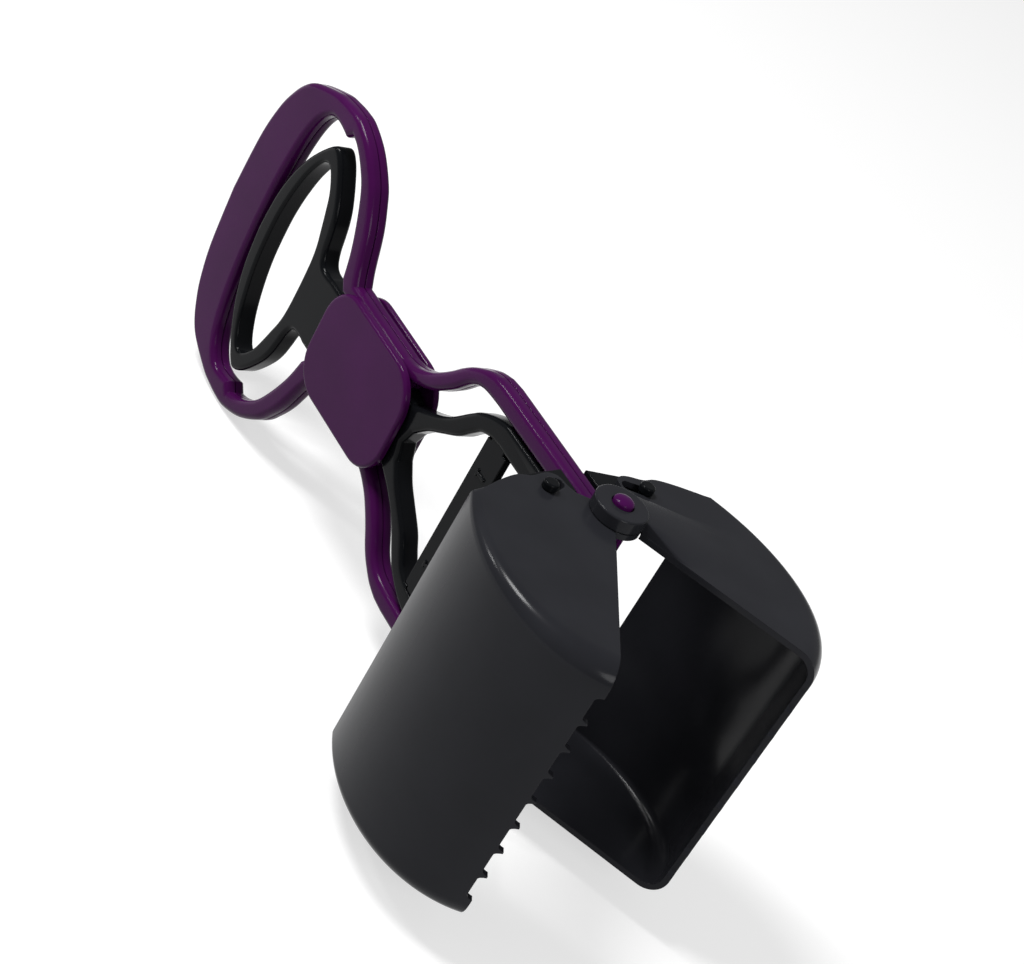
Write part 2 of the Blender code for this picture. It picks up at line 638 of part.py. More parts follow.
def build_cover(name, side):
    """One hub cover; side is -1 at the front and 1 at the rear."""
    low, high = (HUB_BOTTOM, -HUB_HALF_WIDTH), (HUB_TOP, HUB_HALF_WIDTH)
    outline = rounded_box(low, high, HUB_CORNER, HUB_CORNER_STEPS)
    inner_face, outer_face = side * COVER_SEAT, side * (COVER_SEAT + COVER_THICKNESS)
    low, high = sorted((inner_face, outer_face))
    rim = "low" if side < 0 else "high"
    cover = prism(name, outline, low, high, "X", COVER_EDGE, (rim,), split_caps=True)
    shank = SCREW_RADIUS + FIT_GAP
    head = SCREW_HEAD_RADIUS + FIT_GAP
    seat = outer_face - SCREW_HEAD - FIT_GAP
    beyond = outer_face + CUT_OVERRUN
    for y, z in screw_places():
        if side > 0:
            hole = [(shank, inner_face - CUT_OVERRUN), (shank, seat), (head, seat), (head, beyond)]
        else:
            hole = [(shank, inner_face - SCREW_BITE - FIT_GAP), (shank, inner_face + CUT_OVERRUN)]
        cut(cover, rod("hole", (0, y, z), hole, SCREW_POINTS, "X"))
    if side > 0:
        add_spring_anchor(cover)
    return cover


def add_spring_anchor(cover):
    """The block inside the rear cover that the return spring pushes against."""
    wide = POCKET_HALF_WIDTH - RUN_GAP
    inside = -COVER_SEAT + RUN_GAP
    top = ANCHOR_BOTTOM + ANCHOR_HEIGHT
    add(cover, box("anchor", (inside, ANCHOR_BOTTOM, -wide), (COVER_SEAT + COVER_THICKNESS / 2, top, wide)))
    spigot = [(SPIGOT_RADIUS, -SPIGOT_LENGTH), (SPIGOT_RADIUS, ANCHOR_HEIGHT / 2)]
    add(cover, rod("spigot", (0, ANCHOR_BOTTOM, 0), spigot, PEG_POINTS, "Y"))


def build_screw(name, y, z):
    """A cross-slotted screw that holds both covers to a rail, its head let into the rear cover."""
    outer_face = COVER_SEAT + COVER_THICKNESS
    head_seat = outer_face - SCREW_HEAD
    profile = [
        (SCREW_RADIUS, -COVER_SEAT - SCREW_BITE), (SCREW_RADIUS, head_seat), (SCREW_HEAD_RADIUS, head_seat),
        (SCREW_HEAD_RADIUS, outer_face),
    ]
    screw = rod(name, (0, y, z), profile, SCREW_POINTS, "X")
    across = SCREW_HEAD_RADIUS * SCREW_SLOT_SHARE
    stroke = SCREW_SLOT_WIDTH / 2
    for half_y, half_z in ((stroke, across), (across, stroke)):
        low = (outer_face - SCREW_SLOT_DEPTH, y - half_y, z - half_z)
        high = (outer_face + CUT_OVERRUN, y + half_y, z + half_z)
        cut(screw, box("slot", low, high))
    return screw


def trigger_outline():
    """Ring, neck and fork of the trigger as one outline."""
    ring_height = RING_TOP - RING_BASE
    inner = [(0, FORK_INNER)]
    inner += smooth(shaped(FORK_INNER_SHARES, 0, FORK_TOP, FORK_OUTER))
    inner += [(FORK_TOP * FORK_CROTCH_SHARE, 0)]
    outer = smooth(list(reversed(shaped(RING_OUTER_SHARES, RING_BASE, ring_height, RING_HALF_WIDTH))))
    outer += [(RING_BASE, NECK_HALF_WIDTH), (FORK_TOP, NECK_HALF_WIDTH)]
    outer += smooth(shaped(FORK_OUTER_SHARES, 0, FORK_TOP, FORK_OUTER))
    outer += [(0, FORK_OUTER)]
    right = [(max(y, FOOT_BOTTOM), z) for y, z in outer]
    left_outer = [(y, -z) for y, z in reversed(right)][:-1]
    inside = [(max(y, FOOT_BOTTOM), z) for y, z in inner]
    left_inner = [(y, -z) for y, z in inside]
    return right + list(inside) + list(reversed(left_inner))[1:] + left_outer


def window_outline():
    half = smooth(shaped(RING_WINDOW_SHARES, RING_BASE, RING_TOP - RING_BASE, RING_HALF_WIDTH))
    return both_sides(half)


def foot_end():
    """The rounded end of a foot beyond its lift pin, as (X, Y) places from the bottom to the top."""
    end = []
    x = FOOT_HALF_LENGTH - FOOT_CORNER
    for y, quarter in ((FOOT_BOTTOM + FOOT_CORNER, -1), (FOOT_TOP - FOOT_CORNER, 0)):
        for i in range(FOOT_CORNER_STEPS + 1):
            turn = math.pi / 2 * (quarter + i / FOOT_CORNER_STEPS)
            end.append((x + FOOT_CORNER * math.cos(turn), y + FOOT_CORNER * math.sin(turn)))
    return end


def foot_outline():
    """A foot seen along the hinge axis, as (X, Y) places."""
    neck = (TRIGGER_THICKNESS / 2, FOOT_TOP + FOOT_SHOULDER / 2)
    right = [(0, FOOT_BOTTOM)] + foot_end() + [(FOOT_BLOCK_INSIDE, FOOT_TOP), neck]
    left = [(-x, y) for x, y in reversed(right) if x > 0]
    return right + left


def block_outline(side):
    """The thick end of a foot: it reaches to the handle's arm above the hinge eye's travel."""
    beside_arm = HANDLE_THICKNESS / 2 + RUN_GAP
    over_eye = EYE_RADIUS + TRAVEL + RUN_GAP
    outline = [(FOOT_BLOCK_INSIDE, FOOT_BOTTOM)] + foot_end()
    outline += [(beside_arm, FOOT_TOP + FOOT_RIDGE), (beside_arm, over_eye), (FOOT_BLOCK_INSIDE, over_eye)]
    return [(side * x, y) for x, y in outline]


def build_trigger():
    """The squeeze ring, its neck through the hub, and a fork whose feet carry the lift pins."""
    half = TRIGGER_THICKNESS / 2
    trigger = prism("trigger", trigger_outline(), -half, half, "X", TRIGGER_EDGE, split_caps=True)
    window = prism("window", window_outline(), -half - CUT_OVERRUN, half + CUT_OVERRUN, "X")
    cut(trigger, window)
    pocket_low = (-half - CUT_OVERRUN, POCKET_BOTTOM, -POCKET_HALF_WIDTH)
    pocket_high = (half + CUT_OVERRUN, POCKET_TOP, POCKET_HALF_WIDTH)
    cut(trigger, box("pocket", pocket_low, pocket_high))
    spigot = [(SPIGOT_RADIUS, -SPIGOT_LENGTH / 2), (SPIGOT_RADIUS, SPIGOT_LENGTH)]
    add(trigger, rod("spigot", (0, POCKET_BOTTOM, 0), spigot, PEG_POINTS, "Y"))
    block_face = WALL_INNER - RUN_GAP
    for end in (-1, 1):
        foot_levels = sorted((end * (FORK_OUTER - FOOT_WEB), end * FORK_OUTER))
        add(trigger, prism("foot", foot_outline(), *foot_levels, "Z"))
        block_levels = sorted((end * (FORK_OUTER - FOOT_WEB / 2), end * block_face))
        hole_end = block_face - LIFT_PIN_DEPTH - FIT_GAP
        hole_levels = sorted((end * hole_end, end * (block_face + CUT_OVERRUN)))
        for side in (-1, 1):
            add(trigger, prism("block", block_outline(side), *block_levels, "Z"))
            hole = circle((side * LIFT_PIN_OUT, LIFT_PIN_RISE), LIFT_PIN_RADIUS + FIT_GAP, PIN_POINTS)
            cut(trigger, prism("pin_hole", hole, *hole_levels, "Z"))
    for low, high in plate_boxes(FIT_GAP):
        cut(trigger, box("mortise", low, high))
    return trigger


def plate_boxes(gap):
    """The cross plate's body and its tenons as pairs of corners, grown by a gap."""
    side = FORK_INNER - FIT_GAP
    reach = FORK_INNER + TENON_LENGTH
    face = -PLATE_FRONT - gap
    back = -PLATE_FRONT + PLATE_THICKNESS + gap
    body = ((face, PLATE_BOTTOM - gap, -side - gap), (back, PLATE_TOP + gap, side + gap))
    tenon_bottom = PLATE_BOTTOM + TENON_SHOULDER - gap
    tenon_top = PLATE_TOP - TENON_SHOULDER + gap
    tenons = ((face, tenon_bottom, -reach - gap), (back, tenon_top, reach + gap))
    return body, tenons


def build_lift_pin(name, side, end):
    """A headed pin, pressed into a foot, that runs in the slot of an end wall."""
    block_face = WALL_INNER - RUN_GAP
    start = block_face - LIFT_PIN_DEPTH
    top = EAR_SEAT + LIFT_HEAD
    profile = [
        (LIFT_PIN_RADIUS, start), (LIFT_PIN_RADIUS, EAR_SEAT), (LIFT_HEAD_RADIUS, EAR_SEAT),
        (LIFT_HEAD_RADIUS, top - EAR_EDGE), (LIFT_HEAD_RADIUS - EAR_EDGE, top),
    ]
    if end < 0:
        profile = turned_down(profile)
    return rod(name, (side * LIFT_PIN_OUT, LIFT_PIN_RISE, 0), profile, PIN_POINTS)


def build_cross_plate():
    """A plate tenoned between the trigger's arms, with a T-shaped rib near each end."""
    body, tenons = plate_boxes(0.0)
    plate = box("trigger_cross_plate", *body)
    add(plate, box("tenons", *tenons))
    face = -PLATE_FRONT
    middle = (PLATE_BOTTOM + PLATE_TOP) / 2
    raised = face - PLATE_MARK_RISE
    depth = face + PLATE_THICKNESS / 2
    arm = PLATE_MARK_LENGTH / 2
    stroke = PLATE_MARK_STROKE / 2
    for end in (-1, 1):
        z = end * PLATE_MARK_OUT
        low, high = (raised, middle - arm, z - stroke), (depth, middle + arm, z + stroke)
        add(plate, box("stem", low, high))
        low = (raised, middle + arm - PLATE_MARK_STROKE, z - arm / 2)
        add(plate, box("bar", low, (depth, middle + arm, z + arm / 2)))
    return plate


def build_spring():
    """The return spring, pressed together between the trigger's pocket and the anchor."""
    start = POCKET_BOTTOM + FIT_GAP + SPRING_WIRE / 2
    end = ANCHOR_BOTTOM - FIT_GAP - SPRING_WIRE / 2
    count = SPRING_TURNS * SPRING_TURN_POINTS
    points = []
    for i in range(count + 1):
        turn = 2 * math.pi * i / SPRING_TURN_POINTS
        level = start + (end - start) * i / count
        points.append((SPRING_RADIUS * math.cos(turn), level, SPRING_RADIUS * math.sin(turn)))
    first, last = Vector(points[0]), Vector(points[-1])
    lead = Vector((0, 0, -SPRING_WIRE))
    points = [tuple(first + lead)] + points + [tuple(last - lead)]
    curve = bpy.data.curves.new("return_spring", "CURVE")
    curve.dimensions = "3D"
    curve.bevel_depth = SPRING_WIRE / 2
    curve.bevel_resolution = 1
    curve.use_fill_caps = True
    spline = curve.splines.new("POLY")
    spline.points.add(len(points) - 1)
    for point, place in zip(spline.points, points):
        point.co = (*place, 1)
    gap = least_gap([Vector(place) for place in points])
    print(f"return_spring: least gap to itself {gap * 1000:.2f} mm")
    return new_object("return_spring", curve)


def least_gap(points):
    """The least gap between places of the wire that are more than half a turn apart."""
    apart = SPRING_TURN_POINTS // 2 + 1
    nearest = min(
        (points[i] - points[j]).length for i in range(len(points)) for j in range(i + apart, len(points))
    )
    return nearest - SPRING_WIRE


def finish(piece, look, parent):
    """Gives a piece its material, shades it smooth between sharp edges and hangs it in the frame."""
    piece.data.materials.clear()
    piece.data.materials.append(material(piece.name, *look))
    if piece.type == "MESH":
        piece.data.shade_smooth()
        piece.data.set_sharp_from_angle(angle=math.radians(35))
    piece.parent = parent


def axis_place():
    """The hinge axis, seen from the middle of the tool's footprint at floor level."""
    shares = [i / (JAW_CURVE_POINTS - 1) for i in range(JAW_CURVE_POINTS)]
    lowest = min(opened(*wall_place(share, 0), OPEN_ANGLE)[1] for share in shares)
    side = max(GRIP_HALF_WIDTH, PIN_TIP)
    return (0, -(GRIP_REACH + lowest) / 2, side)


def build_part():
    for old in list(bpy.data.objects):
        bpy.data.objects.remove(old)
    axis = new_object("hinge_axis", None)
    axis.location = axis_place()

    for half in build_handle():
        finish(half, PURPLE_PLASTIC, axis)
    finish(build_cover("hub_front_cover", -1), PURPLE_PLASTIC, axis)
    finish(build_cover("hub_rear_cover", 1), PURPLE_PLASTIC, axis)
    for number, (y, z) in enumerate(screw_places(), 1):
        finish(build_screw(f"hub_screw_{number}", y, z), ZINC_STEEL, axis)
    finish(build_hinge_pin("hinge_pin_near", 1), PURPLE_PLASTIC, axis)
    finish(build_hinge_pin("hinge_pin_far", -1), PURPLE_PLASTIC, axis)
    finish(build_spring(), ZINC_STEEL, axis)

    finish(build_trigger(), BLACK_PLASTIC, axis)
    finish(build_cross_plate(), BLACK_PLASTIC, axis)
    for end_name, end in (("near", 1), ("far", -1)):
        for side_name, side in (("front", -1), ("rear", 1)):
            finish(build_lift_pin(f"lift_pin_{end_name}_{side_name}", side, end), BLACK_PLASTIC, axis)

    front = build_jaw()
    rear = new_object("rear_jaw", front.data.copy())
    for jaw, turned, swing in ((front, 0, -OPEN_ANGLE), (rear, math.pi, OPEN_ANGLE)):
        finish(jaw, CHARCOAL_PLASTIC, axis)
        jaw.rotation_mode = "XYZ"
        jaw.rotation_euler = (0, turned, swing)


build_part()
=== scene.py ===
"""Looks of the jaw scooper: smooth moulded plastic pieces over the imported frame, on a pale floor.

The pieces are modelled around the hinge axis, in metres: Y runs along the handle to the grip, Z
along the hinge axis and X across the jaws, with the front jaw on the -X side. They are then moved
to where the frame has that axis. The jaws are drawn closed and swung open, as in the frame.
"""

import math

import bmesh
import bpy
import numpy as np
from mathutils import Matrix, Vector


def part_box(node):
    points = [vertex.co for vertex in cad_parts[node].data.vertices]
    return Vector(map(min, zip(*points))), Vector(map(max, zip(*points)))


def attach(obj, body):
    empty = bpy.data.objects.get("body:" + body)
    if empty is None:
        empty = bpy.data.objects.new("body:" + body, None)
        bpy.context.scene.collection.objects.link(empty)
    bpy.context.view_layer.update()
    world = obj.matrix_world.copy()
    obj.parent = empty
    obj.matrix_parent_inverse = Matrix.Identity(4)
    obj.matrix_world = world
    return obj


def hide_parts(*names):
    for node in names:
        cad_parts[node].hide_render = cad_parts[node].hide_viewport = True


# Fits and steps
FIT_GAP = 0.0003
RUN_GAP = 0.0006
SEAM = 0.00015
OVERRUN = 0.002
WELD = 0.000002
CURVE_STEPS = 8
RIM_STEPS = 5
ROUND_STEPS = 10
SEAM_STEPS = 2
PIN_POINTS = 48
DISC_POINTS = 96
SLOT_POINTS = 24
# A moved place that is nearer to the outline than this share of its distance has crossed over
INSET_SHARE = 0.99
# The rounding of a block's rims, as a share of the rounding of its edges
BLOCK_RIM_SHARE = 0.99
SHARP_ANGLE = math.radians(38)

# Jaws, measured in the closed position from the hinge axis
HALF_WIDTH = 0.04525
JAW_WALL = 0.0018
JAW_REACH = 0.0404
JAW_DEPTH = 0.0523
WALL_TOP_DROP = 0.0138
CORNER_RADIUS = 0.007
CORNER_TOP_RADIUS = 0.0022
CORNER_STEPS = 10
JAW_CURVE_POINTS = 60
OPEN_ANGLE = math.radians(31.5)
WALL_TOP_SHARES = [
    (0.90, -0.200), (0.80, -0.085), (0.70, 0.005), (0.60, 0.045), (0.52, 0.112), (0.46, 0.140), (0.40, 0.134),
    (0.345, 0.088), (0.28, 0.055),
]
TOOTH_COUNT = 9
TOOTH_PITCH = 0.0092
TOOTH_HEIGHT = 0.002
TOOTH_TIP = 0.0005
TOOTH_FLANK = 0.0012
TOOTH_FLANK_SHARES = [(0.15, 0.28), (0.3, 0.5), (0.45, 0.68), (0.6, 0.82), (0.8, 0.93), (1.0, 1.0)]

# Hinge ears and pins
EAR_RADIUS = 0.0079
EAR_THICKNESS = 0.0038
EAR_EDGE = 0.0006
EAR_FOOT_OUT = 0.0122
EAR_FOOT_DROP = 0.02
EAR_FOOT_RADIUS = 0.012
EAR_STEP = 0.0005
EAR_FOOT_RISE = -0.0003
HINGE_PIN_RADIUS = 0.003
HINGE_PIN_PROUD = 0.0019
HINGE_PIN_DOME_SHARE = 2 / 3
HINGE_PIN_FLANGE_RADIUS = 0.0037
HINGE_PIN_FLANGE = 0.0016
EYE_RADIUS = 0.0052
EYE_EDGE = 0.00035
EYE_SKIN = 0.001
LIFT_PIN_OUT = 0.0168
LIFT_PIN_RISE = 0.0098
TRAVEL = 0.006
LIFT_PIN_RADIUS = 0.0016
LIFT_SLOT_GAP = 0.0004
LIFT_HEAD_RADIUS = 0.0022
LIFT_HEAD = 0.0021
LIFT_PIN_DEPTH = 0.004
SLOT_STEPS = 10

# Yoke handle
HANDLE_THICKNESS = 0.0076
HANDLE_EDGE = 0.002
SEAM_EDGE = 0.0003
GRIP_REACH = 0.2085
GRIP_HALF_WIDTH = 0.0565
LOOP_HEIGHT = 0.08
RAIL_LENGTH = 0.038
RAIL_WIDTH = 0.006
ARM_WIDTH = 0.0064
LOOP_OUTER_SHARES = [
    (0.025, 0.331), (0.055, 0.415), (0.106, 0.598), (0.158, 0.722), (0.214, 0.821), (0.322, 0.931),
    (0.436, 0.992), (0.510, 1.0), (0.580, 0.992), (0.650, 0.974), (0.786, 0.903), (0.853, 0.837),
    (0.905, 0.735), (0.947, 0.603), (0.982, 0.379), (1.0, 0.0),
]
LOOP_INNER_SHARES = [
    (0.122, 0.285), (0.153, 0.434), (0.206, 0.596), (0.266, 0.731), (0.329, 0.811), (0.391, 0.865),
    (0.445, 0.890),
]
PALM_INNER_SHARES = [
    (0.478, 0.848), (0.530, 0.862), (0.575, 0.865), (0.620, 0.848), (0.670, 0.775), (0.705, 0.655),
    (0.730, 0.480), (0.746, 0.260), (0.7512, 0.0),
]
ARM_OUTER_SHARES = [
    (1.075, 0.438), (1.025, 0.457), (0.980, 0.494), (0.934, 0.552), (0.893, 0.624), (0.854, 0.705),
    (0.820, 0.785), (0.787, 0.850), (0.747, 0.908), (0.706, 0.955), (0.655, 0.989),
]
ARM_INNER_SHARES = [
    (0.600, 0.996), (0.690, 0.975), (0.750, 0.897), (0.815, 0.712), (0.893, 0.545), (0.985, 0.425),
]
ARM_STRAIGHT_SHARE = 0.60

# Hub covers and screws
HUB_HALF_WIDTH = 0.0187
HUB_UNDERLAP = 0.0076
HUB_OVERLAP = 0.0065
HUB_CORNER = 0.0125
COVER_THICKNESS = 0.0024
COVER_EDGE = 0.0011
SCREW_RADIUS = 0.0011
SCREW_HEAD_RADIUS = 0.0021
SCREW_HEAD = 0.001
SCREW_EDGE = 0.0002
SCREW_EDGE_STEPS = 3
SCREW_TOP_MARGIN = 0.0165
SCREW_BOTTOM_MARGIN = 0.017
SCREW_BITE = 0.0012
SCREW_SLOT_WIDTH = 0.0005
SCREW_SLOT_DEPTH = 0.0005
SCREW_SLOT_SHARE = 0.7

# Trigger
TRIGGER_EDGE = 0.0016
WINDOW_EDGE = 0.0012
RING_STOP_GAP = 0.0008
RING_PALM_GAP = 0.0014
RING_SIDE_GAP = 0.0069
TRIGGER_ARM_WIDTH = 0.0078
RING_OUTER_SHARES = [
    (0.037, 0.272), (0.121, 0.274), (0.172, 0.302), (0.209, 0.380), (0.231, 0.484), (0.260, 0.599),
    (0.311, 0.714), (0.414, 0.866), (0.498, 0.958), (0.577, 1.0), (0.639, 0.967), (0.700, 0.903),
    (0.758, 0.829), (0.833, 0.712), (0.912, 0.539), (0.9735, 0.304), (1.0, 0.0),
]
RING_WINDOW_SHARES = [
    (0.2995, 0.0), (0.304, 0.196), (0.322, 0.334), (0.361, 0.461), (0.403, 0.587), (0.443, 0.691),
    (0.504, 0.781), (0.568, 0.838), (0.634, 0.828), (0.700, 0.746), (0.7665, 0.595), (0.819, 0.3915),
    (0.848, 0.1935), (0.8546, 0.0),
]
FORK_LAP = 0.0005
FORK_OUTER_SHARES = [
    (0.940, 0.300), (0.848, 0.411), (0.763, 0.551), (0.690, 0.741), (0.653, 0.831), (0.609, 0.901),
    (0.560, 0.957), (0.510, 0.994),
]
FORK_INNER_SHARES = [
    (0.500, 0.792), (0.551, 0.778), (0.577, 0.758), (0.610, 0.717), (0.646, 0.624), (0.688, 0.507),
    (0.762, 0.375), (0.817, 0.275), (0.866, 0.145),
]
FORK_CROTCH_SHARE = 0.890
FOOT_WEB = 0.004
FOOT_EDGE = 0.0004
FOOT_PIN_MARGIN = 0.0038
FOOT_UNDER_PIN = 0.0042
FOOT_OVER_PIN = 0.0085
FOOT_SHOULDER = 0.0145
FOOT_EYE_ROOM = 0.003
FOOT_RIDGE = 0.0026
FOOT_CORNER = 0.003

# Cross plate
PLATE_BOTTOM_SHARE = 0.453
PLATE_HEIGHT = 0.0104
PLATE_THICKNESS = 0.0025
PLATE_EDGE = 0.0003
PLATE_INSET = 0.0005
TENON_LENGTH = 0.0034
TENON_SHOULDER = 0.0018
PLATE_MARK_OUT = 0.0175
PLATE_MARK_LENGTH = 0.0045
PLATE_MARK_STROKE = 0.0009
PLATE_MARK_RISE = 0.0005
PLATE_MARK_EDGE = 0.00015

# Return spring
SPRING_RADIUS = 0.0025
SPRING_WIRE = 0.0008
SPRING_WIRE_STEPS = 4
SPRING_TURNS = 8
SPRING_TURN_POINTS = 24
SPRING_ROOM = 0.0007
POCKET_RISE = 0.0196
POCKET_END = 0.0002
ANCHOR_HEIGHT = 0.0034
ANCHOR_MARGIN = 0.0026

# Sizes that follow
WALL_INNER = HALF_WIDTH - JAW_WALL
JAW_LENGTH = WALL_TOP_DROP + JAW_DEPTH
ARM_OUTER = WALL_INNER - RUN_GAP
ARM_INNER = ARM_OUTER - ARM_WIDTH
FORK_OUTER = ARM_INNER - RUN_GAP
FORK_INNER = FORK_OUTER - TRIGGER_ARM_WIDTH
EAR_SEAT = HALF_WIDTH + FIT_GAP
EAR_FACE = EAR_SEAT + EAR_THICKNESS
PIN_TIP = EAR_FACE + HINGE_PIN_PROUD
COVER_SEAT = HANDLE_THICKNESS / 2 + FIT_GAP
RAIL_CENTRE = HUB_HALF_WIDTH - RAIL_WIDTH / 2
RAIL_INNER = HUB_HALF_WIDTH - RAIL_WIDTH
LOOP_BASE = GRIP_REACH - LOOP_HEIGHT
HUB_FOOT = LOOP_BASE - RAIL_LENGTH
HUB_BOTTOM = HUB_FOOT - HUB_UNDERLAP
HUB_TOP = LOOP_BASE + HUB_OVERLAP
TRIGGER_THICKNESS = 2 * (COVER_SEAT - RUN_GAP)
NECK_HALF_WIDTH = RAIL_INNER - RUN_GAP
RING_BASE = HUB_TOP + TRAVEL + RING_STOP_GAP
RING_TOP = LOOP_BASE + LOOP_HEIGHT * PALM_INNER_SHARES[-1][0] - RING_PALM_GAP
RING_HALF_WIDTH = GRIP_HALF_WIDTH * LOOP_INNER_SHARES[-1][1] - RING_SIDE_GAP
FORK_TOP = HUB_FOOT + FORK_LAP
FOOT_HALF_LENGTH = LIFT_PIN_OUT + FOOT_PIN_MARGIN
FOOT_BLOCK_INSIDE = EYE_RADIUS + FOOT_EYE_ROOM
FOOT_BOTTOM = LIFT_PIN_RISE - FOOT_UNDER_PIN
FOOT_TOP = LIFT_PIN_RISE + FOOT_OVER_PIN
PLATE_BOTTOM = FORK_TOP * PLATE_BOTTOM_SHARE
PLATE_TOP = PLATE_BOTTOM + PLATE_HEIGHT
PLATE_FRONT = TRIGGER_THICKNESS / 2 - PLATE_INSET
POCKET_HALF_WIDTH = SPRING_RADIUS + SPRING_WIRE / 2 + SPRING_ROOM
POCKET_BOTTOM = HUB_BOTTOM + POCKET_RISE
POCKET_TOP = HUB_TOP - POCKET_END
ANCHOR_BOTTOM = POCKET_TOP - TRAVEL - ANCHOR_MARGIN - ANCHOR_HEIGHT

# Camera, from the photograph's perspective
SENSOR_WIDTH = 36.0
LENS = 77.91
CAMERA_PLACE = (-0.3841, -0.3985, 0.3844)
CAMERA_BACK = (-0.6313, -0.5921, 0.5009)
CAMERA_UP = (-0.0313, 0.6647, 0.7464)
CAMERA_CLIP_END = 20

# Floor, and how much it glows to the camera and in reflections
FLOOR_SIZE = 6.0
FLOOR_DROP = 0.0005
FLOOR_COLOUR = 0.45
FLOOR_ROUGHNESS = 0.8
FLOOR_GLOW = 0.6

# Lamps, as name, place, size and power
WORLD_STRENGTH = 0.3
LAMP_TARGET = (0, 0, 0.05)
LAMPS = [
    ("key", (-0.5, 0.5, 1.3), 0.4, 17),
    ("fill", (-0.2, -1.3, 0.7), 0.6, 6),
    ("gleam", (-0.67, 0.83, 0.85), 0.12, 3),
]

# Plastics, as colour, roughness, its variation, bump strength and specular level
PLASTICS = {
    "purple_plastic": ((0.048, 0.0035, 0.055), 0.15, 0.03, 0.06, 0.07),
    "charcoal_plastic": ((0.017, 0.0175, 0.021), 0.19, 0.04, 0.07, 0.09),
    "black_plastic": ((0.0045, 0.005, 0.006), 0.15, 0.03, 0.06, 0.07),
}
SMUDGE_SCALE = 45
SMUDGE_DETAIL = 4
SMUDGE_LOW = 0.3
SMUDGE_HIGH = 0.7
TINT_SHARE = 0.1
WAVE_SCALE = 60
WAVE_DETAIL = 1
WAVE_DEPTH = 0.0004
PORE_SCALE = 2500
PORE_DETAIL = 2
PORE_DEPTH = 0.00002
SOFT_EDGE = 0.00035
SOFT_EDGE_SAMPLES = 4

# Zinc-plated steel
ZINC_COLOUR = (0.56, 0.57, 0.58, 1)
ZINC_ROUGHNESS_LOW = 0.25
ZINC_ROUGHNESS_HIGH = 0.45
ZINC_CLOUD_SCALE = 900
ZINC_CLOUD_DETAIL = 2
ZINC_BUMP = 0.2
ZINC_BUMP_DEPTH = 0.00003


def mesh_object(name, work):
    """Turns a bmesh into an object whose faces point outwards."""
    bmesh.ops.recalc_face_normals(work, faces=work.faces)
    mesh = bpy.data.meshes.new(name)
    work.to_mesh(mesh)
    work.free()
    made = bpy.data.objects.new(name, mesh)
    bpy.context.scene.collection.objects.link(made)
    return made


def circle(centre, radius, points):
    """Places round a circle."""
    turns = [2 * math.pi * i / points for i in range(points)]
    return [(centre[0] + radius * math.cos(t), centre[1] + radius * math.sin(t)) for t in turns]


def rounded_box(low, high, radius, steps=ROUND_STEPS):
    """A rectangle outline with round corners, between two corners."""
    outline = []
    centres = [
        (high[0] - radius, high[1] - radius), (low[0] + radius, high[1] - radius),
        (low[0] + radius, low[1] + radius), (high[0] - radius, low[1] + radius),
    ]
    for quarter, centre in enumerate(centres):
        for i in range(steps + 1):
            turn = math.pi / 2 * (quarter + i / steps)
            outline.append((centre[0] + radius * math.cos(turn), centre[1] + radius * math.sin(turn)))
    return outline


def smooth(points, steps=CURVE_STEPS):
    """A Catmull-Rom curve through the points, with the given steps from each to the next."""
    ends = [points[0]] + list(points) + [points[-1]]
    curve = []
    for p0, p1, p2, p3 in zip(ends, ends[1:], ends[2:], ends[3:]):
        for i in range(steps):
            t = i / steps
            place = []
            for a, b, c, d in zip(p0, p1, p2, p3):
                bend = a - 5 * b / 2 + 2 * c - d / 2
                twist = (3 * b - a - 3 * c + d) / 2
                place.append(b + t * (c - a) / 2 + t * t * bend + t * t * t * twist)
            curve.append(tuple(place))
    curve.append(tuple(points[-1]))
    return curve


def shaped(shares, base, height, width):
    """Turns shares of a height above a base and of a width into (Y, Z) places."""
    return [(base + up * height, out * width) for up, out in shares]


def both_sides(half):
    """Closes a half outline, drawn at +Z, with its mirror image."""
    return list(half) + [(y, -z) for y, z in reversed(half) if z > 0]


def inset(outline, distance):
    """Moves every side of a closed outline inwards; a place that would cross joins its neighbour."""
    places = np.array(outline)
    ahead = np.roll(places, -1, axis=0) - places
    lengths = np.linalg.norm(ahead, axis=1)
    sides = ahead / lengths[:, None]
    turning = np.sum(places[:, 0] * ahead[:, 1] - places[:, 1] * ahead[:, 0])
    normals = np.stack((-sides[:, 1], sides[:, 0]), axis=1) * np.sign(turning)
    before = np.roll(normals, 1, axis=0)
    mitres = (before + normals) / (1 + np.sum(before * normals, axis=1))[:, None]
    moved = places + mitres * distance

    offsets = moved[:, None] - places[None]
    along = np.clip(np.einsum("ijk,jk->ij", offsets, sides), 0, lengths)
    gaps = np.linalg.norm(offsets - along[:, :, None] * sides, axis=2).min(axis=1)
    good = np.flatnonzero(gaps > abs(distance) * INSET_SHARE)
    for i in np.flatnonzero(gaps <= abs(distance) * INSET_SHARE):
        steps = np.abs(good - i)
        moved[i] = moved[good[np.minimum(steps, len(places) - steps).argmin()]]
    return [tuple(place) for place in moved]


def rim(face, radius, inwards, steps=RIM_STEPS):
    """A quarter round from a face to the side, as (inset, level) pairs."""
    turns = [math.pi / 2 * i / steps for i in range(steps + 1)]
    return [(radius * (1 - math.sin(t)), face + inwards * radius * (1 - math.cos(t))) for t in turns]


def rims(low, high, low_radius, high_radius, steps=RIM_STEPS):
    """The profile of a slab with both its rims rounded."""
    profile = rim(low, low_radius, 1, steps) if low_radius > 0 else [(0, low)]
    top = rim(high, high_radius, -1, steps) if high_radius > 0 else [(0, high)]
    return profile + list(reversed(top))


